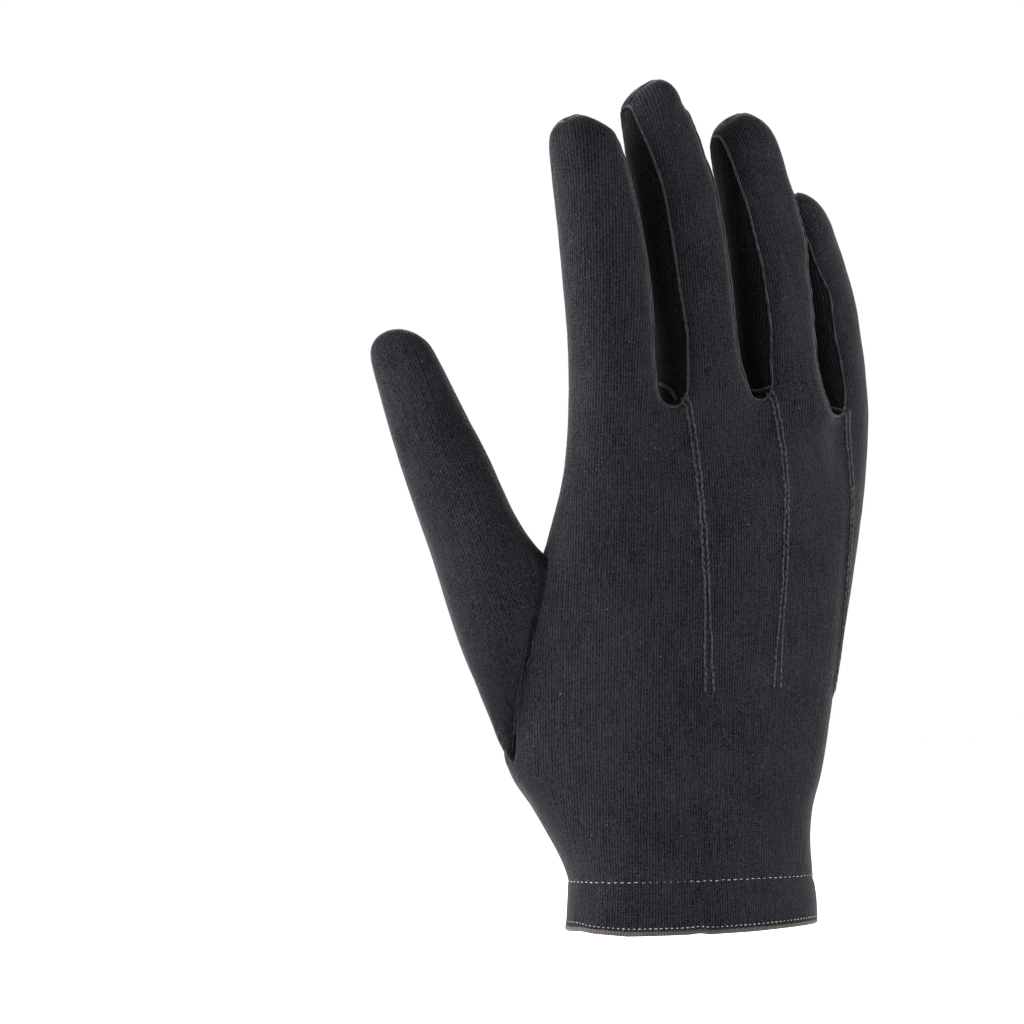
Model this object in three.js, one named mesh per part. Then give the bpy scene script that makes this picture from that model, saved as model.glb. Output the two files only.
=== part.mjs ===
// A right-hand dress glove of black knitted cloth, filled as a hand fills it, fingers up.
// Millimetres. +Z runs up the fingers, -Y is the back of the hand, +Y the palm, -X the thumb side.
// The origin is the middle of the wrist opening, level with the hem's edge.
import * as THREE from 'three';

// Sizes of the glove
const wristWidth = 76;         // across the wrist opening
const wristDepth = 50;         // through the wrist opening, palm to back
const handWidth = 96;          // across the palm, along its arch
const handDepth = 40;          // through the palm at its middle
const archRadius = 68;         // the little-finger side turns towards the palm on this radius
const rootHeight = 149;        // hem edge to the crotches of the fingers
const wall = 1.2;              // knitted cloth
const seamGap = 0.3;           // clearance between neighbouring pieces

// Thumb opening in the trank
const thumbOpeningLow = 45.7;
const thumbOpeningHigh = 106.7;
const thumbLength = 63;        // web of the thumb to its tip, straight up
const thumbWidth = 20;
const thumbDepth = 19;
const thumbYaw = 35;           // degrees that the thumb turns towards the palm
const thumbForward = 4.5;      // how far the thumb stands before the hand's edge
const thumbBlendRings = 4.5;   // rings over which the opening's shape turns into the thumb's own
const thumbSetBack = 0.5;      // from the opening's edge

// Wrist vent: a keyhole above two flaps that cross
const keyholeLow = 32;         // where the flaps' edges cross
const keyholeHigh = 56.2;
const keyholeClear = 7.4;      // width of the opening between its bindings
const overFlapReach = 9.6;     // how far the outer flap passes the slit
const underFlapReach = 13.5;   // how far the inner flap passes the slit
const tabDrop = 5.8;           // how far the inner flap's end hangs below the trank
const flapRise = 1.9;          // how far each flap leaves the plain cloth, for the snap between them
const flapNear = 13;           // distance from the slit up to which the cloth keeps that rise
const flapFar = 30;            // distance at which it is plain again

// Hem, bindings and raised back stitching
const hemHeight = 14.5;
const hemCloth = 0.9;
const bindingWidth = 2.3;
const bindingDepth = 2.1;
const pointWidth = 3;
const pointRise = 0.9;
const pointLow = 67;
const pointGap = 0.5;          // between the line and the faceted cloth under it

// Snap fastener
const snapDiameter = 13;
const snapDome = 2.3;
const snapHeight = 10.4;
const snapInset = 5.2;         // from the slit, away from the thumb
const socketDiameter = 9;
const studDiameter = 8.6;
const studPlate = 0.8;

// Fingers, from the index to the little finger. place: the root's middle across the hand.
// width, depth: at the root. length: above rootHeight. leanX, leanY: how far the tip moves across
// the hand and towards the palm.
const fingers = [
  { name: 'index', place: -30.4, width: 23.2, depth: 22.4, length: 82, leanX: -4.5, leanY: 12 },
  { name: 'middle', place: -2.6, width: 23, depth: 24.2, length: 91, leanX: -6, leanY: 15 },
  { name: 'ring', place: 21.6, width: 20.4, depth: 23, length: 82.4, leanX: -3.5, leanY: 15 },
  { name: 'little', place: 45, width: 17, depth: 18.4, length: 59, leanX: -8.5, leanY: 9 },
];
// Crotches between neighbouring fingers: how far above rootHeight on the back and on the palm.
// pointTop, pointEnd: how far the stitched line below lies towards the little finger at its two ends,
// in quarters of a finger's width.
const crotches = [
  { name: 'index_middle', back: 0.5, palm: -2.5, pointTop: 0.15, pointEnd: 2.7 },
  { name: 'middle_ring', back: 2, palm: 1.5, pointTop: 0.55, pointEnd: 2.3 },
  { name: 'ring_little', back: -2, palm: -7, pointTop: 0.2, pointEnd: 2.8 },
];
const crotchRadius = 7;
const rowSide = { thumb: -1, little: -6 };  // the same at the hand's two sides
const fingerRowY = -9;         // the finger row lies behind the wrist's middle
const archStart = 8.5;         // place across the hand where the arch begins
const rootBlend = 34;          // height below the roots where the hand turns into the finger row
const wallTaper = 27;          // height over which the fourchettes narrow to their point
const wallEnd = 6;             // their point lies this far below the fingertip

// Levels of the hand. at: share of rootHeight. thumbSide and littleSide: extents as shares of half of
// handWidth. depth: share of handDepth. middle: shift of the section's middle as a share of handDepth.
// ball: how far the thumb side bulges to the palm, as a share of handDepth. arch: share of the arch.
const handLevels = [
  { at: 0.3, thumbSide: 1.07, littleSide: 0.81, depth: 1.13, middle: -0.055, ball: 0.29, arch: 0.22 },
  { at: 0.42, thumbSide: 1.1, littleSide: 0.862, depth: 1.08, middle: -0.09, ball: 0.3, arch: 0.35 },
  { at: 0.55, thumbSide: 1.075, littleSide: 0.929, depth: 1.01, middle: -0.135, ball: 0.22, arch: 0.52 },
  { at: 0.72, thumbSide: 0.975, littleSide: 1.025, depth: 0.89, middle: -0.185, ball: 0.12, arch: 0.75 },
  { at: 0.85, thumbSide: 0.93, littleSide: 1.105, depth: 0.78, middle: -0.215, ball: 0.04, arch: 0.92 },
  { at: 1, thumbSide: 0.95, littleSide: 1.15, depth: 0.64, middle: -0.225, ball: 0, arch: 1 },
];
// Levels of the wrist, as shares of wristWidth and wristDepth. at: share of rootHeight.
const wristLevels = [
  { at: 0, thumbSide: 1, littleSide: 1, depth: 1, middle: 0, ball: 0, arch: 0 },
  { at: 0.095, thumbSide: 0.966, littleSide: 0.966, depth: 0.96, middle: 0, ball: 0, arch: 0.02 },
  { at: 0.15, thumbSide: 1.045, littleSide: 0.934, depth: 0.96, middle: -0.01, ball: 0.03, arch: 0.05 },
  { at: 0.2, thumbSide: 1.134, littleSide: 0.929, depth: 0.948, middle: -0.02, ball: 0.1, arch: 0.1 },
  { at: 0.24, thumbSide: 1.2, littleSide: 0.95, depth: 0.936, middle: -0.026, ball: 0.16, arch: 0.13 },
];
// Width and depth along a finger, as shares of those at its root. at: share of the way to the tip.
const fingerLevels = [
  { at: 0, width: 1.04, depth: 1.02 },
  { at: 0.2, width: 1, depth: 0.98 },
  { at: 0.5, width: 1, depth: 0.93 },
  { at: 0.75, width: 0.94, depth: 0.87 },
  { at: 1, width: 0.82, depth: 0.8 },
];
// Rings of the thumb. outer and inner: the ring's two edges. Out: share of thumbWidth away from the
// web. Up: share of thumbLength above the web. depth: share of thumbDepth.
const thumbRings = [
  { outerOut: 0.8, outerUp: -0.88, innerOut: 0.02, innerUp: 0.005, depth: 1.02 },
  { outerOut: 0.95, outerUp: -0.76, innerOut: 0.08, innerUp: 0.015, depth: 1.12 },
  { outerOut: 1.08, outerUp: -0.595, innerOut: 0.18, innerUp: 0.035, depth: 1.22 },
  { outerOut: 1.31, outerUp: -0.4, innerOut: 0.32, innerUp: 0.085, depth: 1.27 },
  { outerOut: 1.53, outerUp: -0.185, innerOut: 0.49, innerUp: 0.17, depth: 1.26 },
  { outerOut: 1.72, outerUp: 0.005, innerOut: 0.67, innerUp: 0.295, depth: 1.2 },
  { outerOut: 1.93, outerUp: 0.2, innerOut: 0.88, innerUp: 0.45, depth: 1.12 },
  { outerOut: 2.13, outerUp: 0.39, innerOut: 1.1, innerUp: 0.575, depth: 1.06 },
  { outerOut: 2.33, outerUp: 0.6, innerOut: 1.33, innerUp: 0.715, depth: 1.02 },
  { outerOut: 2.53, outerUp: 0.83, innerOut: 1.6, innerUp: 0.88, depth: 0.98 },
];

const handPower = 2.3;         // the sections are rounded boxes: 2 is an ellipse
const fingerPower = 2.4;

const radians = THREE.MathUtils.degToRad;
const mix = THREE.MathUtils.lerp;
const ease = THREE.MathUtils.smoothstep;

function spread(from, to, steps) {
  const values = [];
  for (let i = 1; i <= steps; i += 1) values.push(mix(from, to, i / steps));
  return values;
}

// Smooth reading of a table between its rows, by the column named at
function readTable(table, at) {
  let i = 0;
  while (i < table.length - 2 && table[i + 1].at < at) i += 1;
  const row = {};
  const rows = [table[Math.max(i - 1, 0)], table[i], table[i + 1], table[Math.min(i + 2, table.length - 1)]];
  const t = THREE.MathUtils.clamp((at - rows[1].at) / (rows[2].at - rows[1].at), 0, 1);
  for (const key of Object.keys(table[0])) {
    const slope = (a, b) => (b.at === a.at ? 0 : (b[key] - a[key]) / (b.at - a.at));
    const span = rows[2].at - rows[1].at;
    const m1 = slope(rows[0], rows[2]) * span;
    const m2 = slope(rows[1], rows[3]) * span;
    const t2 = t * t;
    const t3 = t2 * t;
    row[key] = (2 * t3 - 3 * t2 + 1) * rows[1][key] + (t3 - 2 * t2 + t) * m1
      + (3 * t2 - 2 * t3) * rows[2][key] + (t3 - t2) * m2;
  }
  return row;
}

// Point of a unit rounded box at an angle: 0 is the little-finger side, 90 the back, 180 the thumb side
function roundedBox(angle, power) {
  const c = Math.cos(angle);
  const s = Math.sin(angle);
  return {
    across: Math.sign(c) * Math.abs(c) ** (2 / power),
    back: Math.sign(s) * Math.abs(s) ** (2 / power),
  };
}

// Bends a flat section along the hand's arch
function bend(place, y, share) {
  if (share <= 0 || place <= archStart) return { x: place, y };
  const radius = archRadius / share;
  const turn = (place - archStart) / radius;
  return {
    x: archStart + radius * Math.sin(turn) - y * Math.sin(turn),
    y: radius * (1 - Math.cos(turn)) + y * Math.cos(turn),
  };
}

const halfOf = (share, size) => (share * size) / 2;
const allLevels = [
  ...wristLevels.map((row) => ({
    at: row.at,
    low: -halfOf(row.thumbSide, wristWidth),
    high: halfOf(row.littleSide, wristWidth),
    half: halfOf(row.depth, wristDepth),
    middle: row.middle * wristDepth,
    ball: row.ball * wristDepth,
    arch: row.arch,
  })),
  ...handLevels.map((row) => ({
    at: row.at,
    low: -halfOf(row.thumbSide, handWidth),
    high: halfOf(row.littleSide, handWidth),
    half: halfOf(row.depth, handDepth),
    middle: row.middle * handDepth,
    ball: row.ball * handDepth,
    arch: row.arch,
  })),
];

// Point of the hand's section at a height and an angle
function handPoint(angle, z) {
  const level = readTable(allLevels, z / rootHeight);
  const point = roundedBox(angle, handPower);
  const place = mix(level.low, level.high, (point.across + 1) / 2);
  const y = level.middle - level.half * point.back + level.ball * ease(-point.across, 0, 1);
  return bend(place, y, level.arch);
}

// Columns of the hand's ring, from the thumb side over the back, then over the palm
const stripSteps = 4;
const backColumns = 2 + fingers.length * stripSteps + 2;
const ringColumns = 2 * backColumns;
const cornerShare = 2 ** (-1 / fingerPower);
const cornerAngle = radians(45);
const wallTipAngle = radians(13);

// Places across the hand of a finger's two sides at its root
function fingerEdges(finger) {
  const half = (finger.width * fingerLevels[0].width) / 2;
  return { low: finger.place - half, high: finger.place + half };
}

const rowLow = fingerEdges(fingers[0]).low;
const rowHigh = fingerEdges(fingers[fingers.length - 1]).high;
const angleAtShare = (share) => {
  const size = Math.abs(share) ** (handPower / 2);
  return Math.acos(Math.sign(share) * Math.min(size, 1));
};
const shareOfPlace = (place) => (2 * (place - rowLow)) / (rowHigh - rowLow) - 1;

function gapPlace(index) {
  return (fingerEdges(fingers[index]).high + fingerEdges(fingers[index + 1]).low) / 2;
}

function baseAngles() {
  const angles = [Math.PI, 0];
  fingers.forEach((finger, index) => {
    const { low, high } = fingerEdges(finger);
    const middle = (low + high) / 2;
    const from = index === 0 ? mix(middle, low, cornerShare) : gapPlace(index - 1);
    const to = index === fingers.length - 1 ? mix(middle, high, cornerShare) : gapPlace(index);
    if (index === 0) angles.push(angleAtShare(shareOfPlace(from)));
    for (const place of spread(from, to, stripSteps)) angles.push(angleAtShare(shareOfPlace(place)));
  });
  angles.push(angles[angles.length - 1] / 2, 0);
  angles[1] = (angles[0] + angles[2]) / 2;
  return angles;
}
const backAngles = baseAngles();
const columnAngle = (column) => (column <= backColumns
  ? backAngles[column] : -backAngles[ringColumns - column]);

// Heights of the hand's rows: they meet the ends of the vent and of the thumb opening
const trankLow = bindingWidth + seamGap;
const rows = [
  trankLow, (trankLow + hemHeight) / 2, hemHeight,
  ...spread(hemHeight, keyholeLow, 3),
  ...spread(keyholeLow, thumbOpeningLow, 3),
  ...spread(thumbOpeningLow, keyholeHigh, 2),
  ...spread(keyholeHigh, thumbOpeningHigh, 9),
  ...spread(thumbOpeningHigh, rootHeight, 5),
];
const lastRow = rows.length - 1;
const crossingRow = 5;
const thumbLowRow = 8;
const keyholeHighRow = 10;
const thumbHighRow = 19;
const ventColumn = ringColumns - 2 - stripSteps;
const hemRow = 2;              // rows that the turned-up hem covers
const hemShort = 5;            // columns by which it stops short of the outer flap

// The cloth's outer face: shared corners and faces, each face belonging to one panel
const skin = { points: [], faces: [] };
const addPoint = (x, y, z) => skin.points.push(new THREE.Vector3(x, y, z)) - 1;

function addFace(panel, corners, isHem = false) {
  const ring = corners.filter((corner, i) => corner !== corners[(i + 1) % corners.length]);
  if (ring.length > 2) skin.faces.push({ panel, corners: ring, isHem });
}

// Height of the finger roots at a column, between the crotches beside it
function rootAt(column) {
  const onBack = column <= backColumns;
  const across = onBack ? column : ringColumns - column;
  const side = onBack ? 'back' : 'palm';
  const marks = [
    { at: 0, z: rootHeight + rowSide.thumb },
    ...crotches.map((crotch, i) => ({ at: 2 + (i + 1) * stripSteps, z: rootHeight + crotch[side] })),
    { at: backColumns, z: rootHeight + rowSide.little },
  ];
  let i = 0;
  while (marks[i + 1].at < across) i += 1;
  return mix(marks[i].z, marks[i + 1].z, (across - marks[i].at) / (marks[i + 1].at - marks[i].at));
}

const tipOf = (finger) => rootHeight + finger.length;

// Point of a finger: angle round it and height, leaning over as it rises
function fingerPoint(finger, angle, rise, z) {
  const level = readTable(fingerLevels, rise);
  const domeHeight = finger.width / 2;
  const inDome = THREE.MathUtils.clamp((z - (tipOf(finger) - domeHeight)) / domeHeight, 0, 1);
  const point = roundedBox(angle, fingerPower);
  const narrow = (1 - 0.62 * inDome ** 2.6);
  const thin = Math.sqrt(Math.max(1 - inDome ** 2.2, 0));
  const across = (point.across * finger.width * level.width * narrow) / 2;
  const back = (point.back * finger.depth * level.depth * thin) / 2;
  const flat = bend(finger.place + across, fingerRowY - back, 1);
  const sag = inDome ** 3 * point.across * point.across * finger.width * 0.13;
  return {
    x: flat.x + finger.leanX * rise ** 2,
    y: flat.y + finger.leanY * rise ** 1.7,
    z: z - sag,
  };
}

// Point of the fold between two fingers, from the back edge (0) to the palm edge (1)
function crotchPoint(index, share) {
  const crotch = crotches[index];
  const depth = Math.min(fingers[index].depth, fingers[index + 1].depth) * 0.43;
  const flat = bend(gapPlace(index), mix(fingerRowY - depth, fingerRowY + depth, share), 1);
  const saddle = 4 * share * (1 - share) * 1.5;
  return { x: flat.x, y: flat.y, z: rootHeight + mix(crotch.back, crotch.palm, share) + saddle };
}

// Angle of a finger's column, where the side walls have a half angle that narrows towards the tip
function fingerAngle(column, wallHalf) {
  const side = Math.floor(column / stripSteps) % 4;
  const part = (column % stripSteps) / stripSteps;
  const starts = [Math.PI - wallHalf, wallHalf, -wallHalf, -(Math.PI - wallHalf)];
  const spans = [Math.PI - 2 * wallHalf, 2 * wallHalf, Math.PI - 2 * wallHalf, 2 * wallHalf];
  return starts[side] - part * spans[side];
}

// Rows of a finger above its root: heights over the crotch, then the dome of the tip
const crotchRises = [0, 1.5, 3.6, crotchRadius];
const shaftRows = 6;
const domeRows = [0.4, 0.7, 0.9, 1];
const fingerRows = crotchRises.length + shaftRows + domeRows.length - 1;
const wallEndRow = fingerRows - 3;

function fingerRise(finger, row, root) {
  const length = tipOf(finger) - root;
  if (row < crotchRises.length) return crotchRises[row] / length;
  const domeStart = 1 - finger.width / 2 / length;
  const shaft = row - crotchRises.length + 1;
  if (shaft <= shaftRows) return mix(crotchRadius / length, domeStart, shaft / shaftRows);
  return mix(domeStart, 1, domeRows[shaft - shaftRows - 1]);
}

// The trank's ring of corners, row by row, with the thumb opening and the vent left open
const hand = rows.map(() => ({ ring: [], thumbPalm: null, ventUnder: null }));

function openingAngles(z) {
  const along = (z - thumbOpeningLow) / (thumbOpeningHigh - thumbOpeningLow);
  if (along <= 0 || along >= 1) return { back: 0, palm: 0 };
  const wide = Math.sin(Math.PI * along) ** 0.75;
  return { back: radians(9) * wide, palm: radians(40) * wide };
}

function openedAngle(column, z) {
  const angle = columnAngle(column);
  const opening = openingAngles(z);
  const reach = 2 + stripSteps;
  if (column <= reach) {
    const fixed = columnAngle(reach);
    return fixed + ((angle - fixed) * (Math.PI - opening.back - fixed)) / (Math.PI - fixed);
  }
  if (column >= ringColumns - reach) {
    const fixed = columnAngle(ringColumns - reach);
    return fixed + ((angle - fixed) * (-Math.PI + opening.palm - fixed)) / (-Math.PI - fixed);
  }
  return angle;
}

const towards = (a, b, share) => ({ x: mix(a.x, b.x, share), y: mix(a.y, b.y, share) });

// Outward direction of the hand's section, flat
function outward(angle, z) {
  const a = handPoint(angle + 0.02, z);
  const b = handPoint(angle - 0.02, z);
  const length = Math.hypot(b.x - a.x, b.y - a.y);
  return { x: (b.y - a.y) / length, y: -(b.x - a.x) / length };
}

// Lift of the cloth beside the vent: the outer flap stands out, the inner one is pressed in
function ventLift(distance, z) {
  const near = 1 - ease(distance, flapNear, flapFar);
  const low = 1 - ease(z, keyholeLow - 4, keyholeHigh);
  return flapRise * near * low;
}

function trankPoint(column, row) {
  const low = Math.min(rows[row], thumbOpeningHigh);
  const share = (rows[row] - low) / (rootHeight - thumbOpeningHigh);
  const z = mix(low, rootAt(column), share);
  const flat = handPoint(openedAngle(column, rows[row]), rows[row]);
  const blend = 1 - ease(rootHeight - rows[row], 0, rootBlend);
  const root = rootPoint(column);
  return { ...towards(flat, root, blend), z };
}

function rootPoint(column) {
  const across = column <= backColumns ? column : ringColumns - column;
  const onBack = column <= backColumns;
  const gap = (across - 2) / stripSteps - 1;
  if (gap >= 0 && gap < crotches.length && Number.isInteger(gap)) return crotchPoint(gap, onBack ? 0 : 1);
  const index = THREE.MathUtils.clamp(Math.floor((across - 2) / stripSteps), 0, fingers.length - 1);
  const local = across - 2 - index * stripSteps;
  const flat = fingerAngle((local + 4 * stripSteps) % (4 * stripSteps), cornerAngle);
  return fingerPoint(fingers[index], onBack ? flat : -flat, 0, rootHeight);
}

function lifted(column, row, amount) {
  const at = trankPoint(column, row);
  const out = outward(openedAngle(column, rows[row]), rows[row]);
  return { x: at.x + out.x * amount, y: at.y + out.y * amount, z: at.z };
}

const flat2 = (a, b) => Math.hypot(a.x - b.x, a.y - b.y);

function ventSlide(row) {
  const z = rows[row];
  if (z <= keyholeLow || z >= keyholeHigh) return 0;
  const half = keyholeClear / 2 + seamGap + bindingWidth;
  return half * Math.sin((Math.PI * (z - keyholeLow)) / (keyholeHigh - keyholeLow)) ** 0.75;
}

// A place on the palm at a distance past the slit: towards the thumb is positive
function pastSlit(distance, row, lift) {
  const step = distance >= 0 ? 1 : -1;
  let column = ventColumn;
  let left = Math.abs(distance);
  let from = trankPoint(column, row);
  let to = trankPoint(column + step, row);
  while (left > flat2(from, to)) {
    left -= flat2(from, to);
    column += step;
    from = to;
    to = trankPoint(column + step, row);
  }
  const share = left / flat2(from, to);
  const place = towards(from, to, share);
  const angle = mix(openedAngle(column, rows[row]), openedAngle(column + step, rows[row]), share);
  const out = outward(angle, rows[row]);
  return { x: place.x + out.x * lift, y: place.y + out.y * lift, z: from.z };
}

// Columns near the slit make room for the keyhole and follow the lift of the flaps
const keyholeReach = 4;

function clothPoint(column, row) {
  if (column <= backColumns) return trankPoint(column, row);
  const step = Math.sign(column - ventColumn);
  const apart = (to) => {
    let sum = 0;
    for (let c = ventColumn; c !== to; c += step) sum += flat2(trankPoint(c, row), trankPoint(c + step, row));
    return sum;
  };
  const distance = apart(column);
  const lift = -step * ventLift(distance, rows[row]);
  const slide = ventSlide(row);
  if (slide === 0 || Math.abs(column - ventColumn) >= keyholeReach) return lifted(column, row, lift);
  const edge = apart(ventColumn + step * keyholeReach);
  return pastSlit(step * (slide + distance * (1 - slide / edge)), row, lift);
}

function buildTrankRows() {
  for (let row = 0; row <= lastRow; row += 1) {
    const ring = [];
    for (let column = 0; column < ringColumns; column += 1) {
      if (column === ventColumn && row < keyholeHighRow) {
        const over = pastSlit(-ventSlide(row), row, ventLift(0, rows[row]));
        const under = pastSlit(ventSlide(row), row, -ventLift(0, rows[row]));
        ring.push(addPoint(over.x, over.y, over.z));
        hand[row].ventUnder = addPoint(under.x, under.y, under.z);
      } else {
        const at = clothPoint(column, row);
        ring.push(addPoint(at.x, at.y, at.z));
      }
    }
    hand[row].ring = ring;
    if (row > thumbLowRow && row < thumbHighRow) {
      const at = trankPoint(ringColumns, row);
      hand[row].thumbPalm = addPoint(at.x, at.y, at.z);
    }
  }
}

// A corner of the ring as seen by the face on one side of it
function ringCorner(row, column, faceColumn) {
  const onPalm = faceColumn >= backColumns;
  if (column === ringColumns) return onPalm && hand[row].thumbPalm !== null ? hand[row].thumbPalm : hand[row].ring[0];
  if (column === ventColumn && faceColumn === ventColumn && hand[row].ventUnder !== null) {
    return hand[row].ventUnder;
  }
  return hand[row].ring[column];
}

function buildTrankFaces() {
  for (let row = 0; row < lastRow; row += 1) {
    for (let column = 0; column < ringColumns; column += 1) {
      const isHem = row < hemRow && (column > ventColumn || column < ventColumn - hemShort);
      addFace(column < backColumns ? 'back_panel' : 'palm_panel', [
        ringCorner(row, column, column),
        ringCorner(row, column + 1, column),
        ringCorner(row + 1, column + 1, column),
        ringCorner(row + 1, column, column),
      ], isHem);
    }
  }
}

// The two flaps grow from the edges of the slit, over each other
const flapShape = [
  { over: 0.6, under: 0.86, drop: 1 },
  { over: 0.98, under: 1, drop: 0 },
  { over: 0.9, under: 0.84, drop: 0 },
  { over: 0.66, under: 0.58, drop: 0 },
  { over: 0.34, under: 0.3, drop: 0 },
  { over: 0, under: 0, drop: 0 },
];
const flapSteps = 3;

function buildFlap(isOver) {
  const grid = [];
  for (let row = 0; row <= crossingRow; row += 1) {
    const shape = flapShape[row];
    const reach = isOver ? shape.over * overFlapReach : shape.under * underFlapReach;
    const edge = isOver ? hand[row].ring[ventColumn] : hand[row].ventUnder;
    const line = [edge];
    for (let step = 1; step <= flapSteps; step += 1) {
      if (row === crossingRow) {
        line.push(edge);
      } else {
        const share = step / flapSteps;
        const lift = ventLift(0, rows[row]);
        const at = pastSlit(share * reach * (isOver ? 1 : -1), row, isOver ? lift : -lift);
        const hang = isOver ? 0 : -tabDrop * shape.drop * Math.sin(Math.PI * Math.min(share * 0.8, 1));
        line.push(addPoint(at.x, at.y, at.z + hang));
      }
    }
    grid.push(line);
  }
  for (let row = 0; row < crossingRow; row += 1) {
    for (let step = 0; step < flapSteps; step += 1) {
      const corners = [grid[row][step], grid[row][step + 1], grid[row + 1][step + 1], grid[row + 1][step]];
      addFace('palm_panel', isOver ? corners : corners.reverse());
    }
  }
  return grid;
}

// Fingers: four strips round each, the walls between neighbours being the fourchettes
const around = 4 * stripSteps;
const folds = crotches.map((crotch, index) => ({ inner: [], index }));
// Columns that fall on one another share a corner
const cornerKey = (angle) => `${Math.cos(angle).toFixed(4)} ${Math.sign(Math.sin(angle).toFixed(4))}`;

function rootCorner(index, column) {
  const top = hand[lastRow].ring;
  const c = (column + around) % around;
  const isFirst = index === 0;
  const isLast = index === fingers.length - 1;
  if (c <= stripSteps) return top[2 + index * stripSteps + c];
  if (c >= 2 * stripSteps && c <= 3 * stripSteps) {
    return top[backColumns + 2 + (fingers.length - 1 - index) * stripSteps + c - 2 * stripSteps];
  }
  if (c < 2 * stripSteps) {
    return isLast ? top[backColumns - 2 + c - stripSteps] : folds[index].inner[c - stripSteps - 1];
  }
  if (isFirst) return top[(ringColumns - 2 + c - 3 * stripSteps) % ringColumns];
  return folds[index - 1].inner[4 * stripSteps - c - 1];
}

// Part of a column in the fold between fingers: 0 at its back edge, 1 at its palm edge, else null
function foldShare(index, column) {
  const c = (column + around) % around;
  if (c >= stripSteps && c <= 2 * stripSteps && index < fingers.length - 1) {
    return { fold: index, share: (c - stripSteps) / stripSteps };
  }
  if ((c >= 3 * stripSteps || c === 0) && index > 0) {
    return { fold: index - 1, share: c === 0 ? 0 : 1 - (c - 3 * stripSteps) / stripSteps };
  }
  return null;
}

function columnRoot(index, column) {
  const fold = foldShare(index, column);
  if (fold) return crotchPoint(fold.fold, fold.share).z;
  return skin.points[rootCorner(index, column)].z;
}

function buildFinger(finger, index) {
  const grid = [];
  for (let row = 0; row <= fingerRows; row += 1) {
    const line = [];
    const made = new Map();
    for (let column = 0; column < around; column += 1) {
      if (row === 0) {
        line.push(rootCorner(index, column));
        continue;
      }
      const root = columnRoot(index, column);
      const rise = fingerRise(finger, row, root);
      const z = mix(root, tipOf(finger), rise);
      const taper = ease(tipOf(finger) - wallEnd - z, 0, wallTaper);
      const wallHalf = row > wallEndRow ? 0 : mix(wallTipAngle, cornerAngle, taper);
      let angle = fingerAngle(column, wallHalf);
      if (row === fingerRows) angle = Math.abs(angle) > Math.PI ? Math.PI : Math.abs(angle);
      const key = cornerKey(angle);
      if (row > wallEndRow && made.has(key)) {
        line.push(made.get(key));
        continue;
      }
      let at = fingerPoint(finger, angle, rise, z);
      const fold = foldShare(index, column);
      if (fold && row < crotchRises.length) {
        const climb = crotchRises[row] / crotchRadius;
        const open = Math.sqrt(Math.max(1 - (1 - climb) ** 2, 0));
        at = { ...towards(crotchPoint(fold.fold, fold.share), at, open), z: at.z };
      }
      const point = addPoint(at.x, at.y, at.z);
      made.set(key, point);
      line.push(point);
    }
    grid.push(line);
  }
  for (let row = 0; row < fingerRows; row += 1) {
    for (let column = 0; column < around; column += 1) {
      const next = (column + 1) % around;
      addFace(fingerPanel(index, column, row), [
        grid[row][column], grid[row][next], grid[row + 1][next], grid[row + 1][column],
      ]);
    }
  }
}

function fingerPanel(index, column, row) {
  const side = Math.floor(column / stripSteps);
  const half = column % stripSteps < stripSteps / 2;
  if (side === 0) return 'back_panel';
  if (side === 2) return 'palm_panel';
  const isWall = row < wallEndRow;
  if (side === 1) {
    if (isWall && index < fingers.length - 1) return `fourchette_${crotches[index].name}`;
    return half ? 'back_panel' : 'palm_panel';
  }
  if (isWall && index > 0) return `fourchette_${crotches[index - 1].name}`;
  return half ? 'palm_panel' : 'back_panel';
}

function buildFolds() {
  for (const fold of folds) {
    for (let step = 1; step < stripSteps; step += 1) {
      const at = crotchPoint(fold.index, step / stripSteps);
      fold.inner.push(addPoint(at.x, at.y, at.z));
    }
  }
}

// Thumb: rings from the opening's edge to a closed tip
function thumbLoop() {
  const loop = [hand[thumbHighRow].ring[0]];
  for (let row = thumbHighRow - 1; row > thumbLowRow; row -= 1) loop.push(hand[row].thumbPalm);
  loop.push(hand[thumbLowRow].ring[0]);
  for (let row = thumbLowRow + 1; row < thumbHighRow; row += 1) loop.push(hand[row].ring[0]);
  return loop;
}

function thumbPlanePoint(out, up) {
  const yaw = radians(thumbYaw);
  const web = handPoint(Math.PI, thumbOpeningHigh);
  const away = out * thumbWidth;
  return new THREE.Vector3(
    web.x + thumbForward * Math.sin(yaw) - away * Math.cos(yaw),
    web.y + thumbForward * Math.cos(yaw) + away * Math.sin(yaw),
    thumbOpeningHigh + up * thumbLength,
  );
}

// Angle round the thumb, wider apart at the web so that the cloth leaves the hand at once
function thumbAngle(i, count) {
  const half = count / 2;
  const step = i <= half ? i : count - i;
  const even = (Math.PI * step) / half;
  const angle = mix(even, Math.acos(1 - (2 * step) / half), 0.5);
  return i <= half ? angle : -angle;
}

function thumbRing(outer, inner, depth, count) {
  const yaw = radians(thumbYaw);
  const palmWay = new THREE.Vector3(Math.sin(yaw), Math.cos(yaw), 0);
  const middle = outer.clone().add(inner).multiplyScalar(0.5);
  const half = inner.clone().sub(outer).multiplyScalar(0.5);
  const ring = [];
  for (let i = 0; i < count; i += 1) {
    const point = roundedBox(thumbAngle(i, count), 2.15);
    ring.push(middle.clone()
      .addScaledVector(half, point.across)
      .addScaledVector(palmWay, (point.back * depth * thumbDepth) / 2));
  }
  return ring;
}

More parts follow.
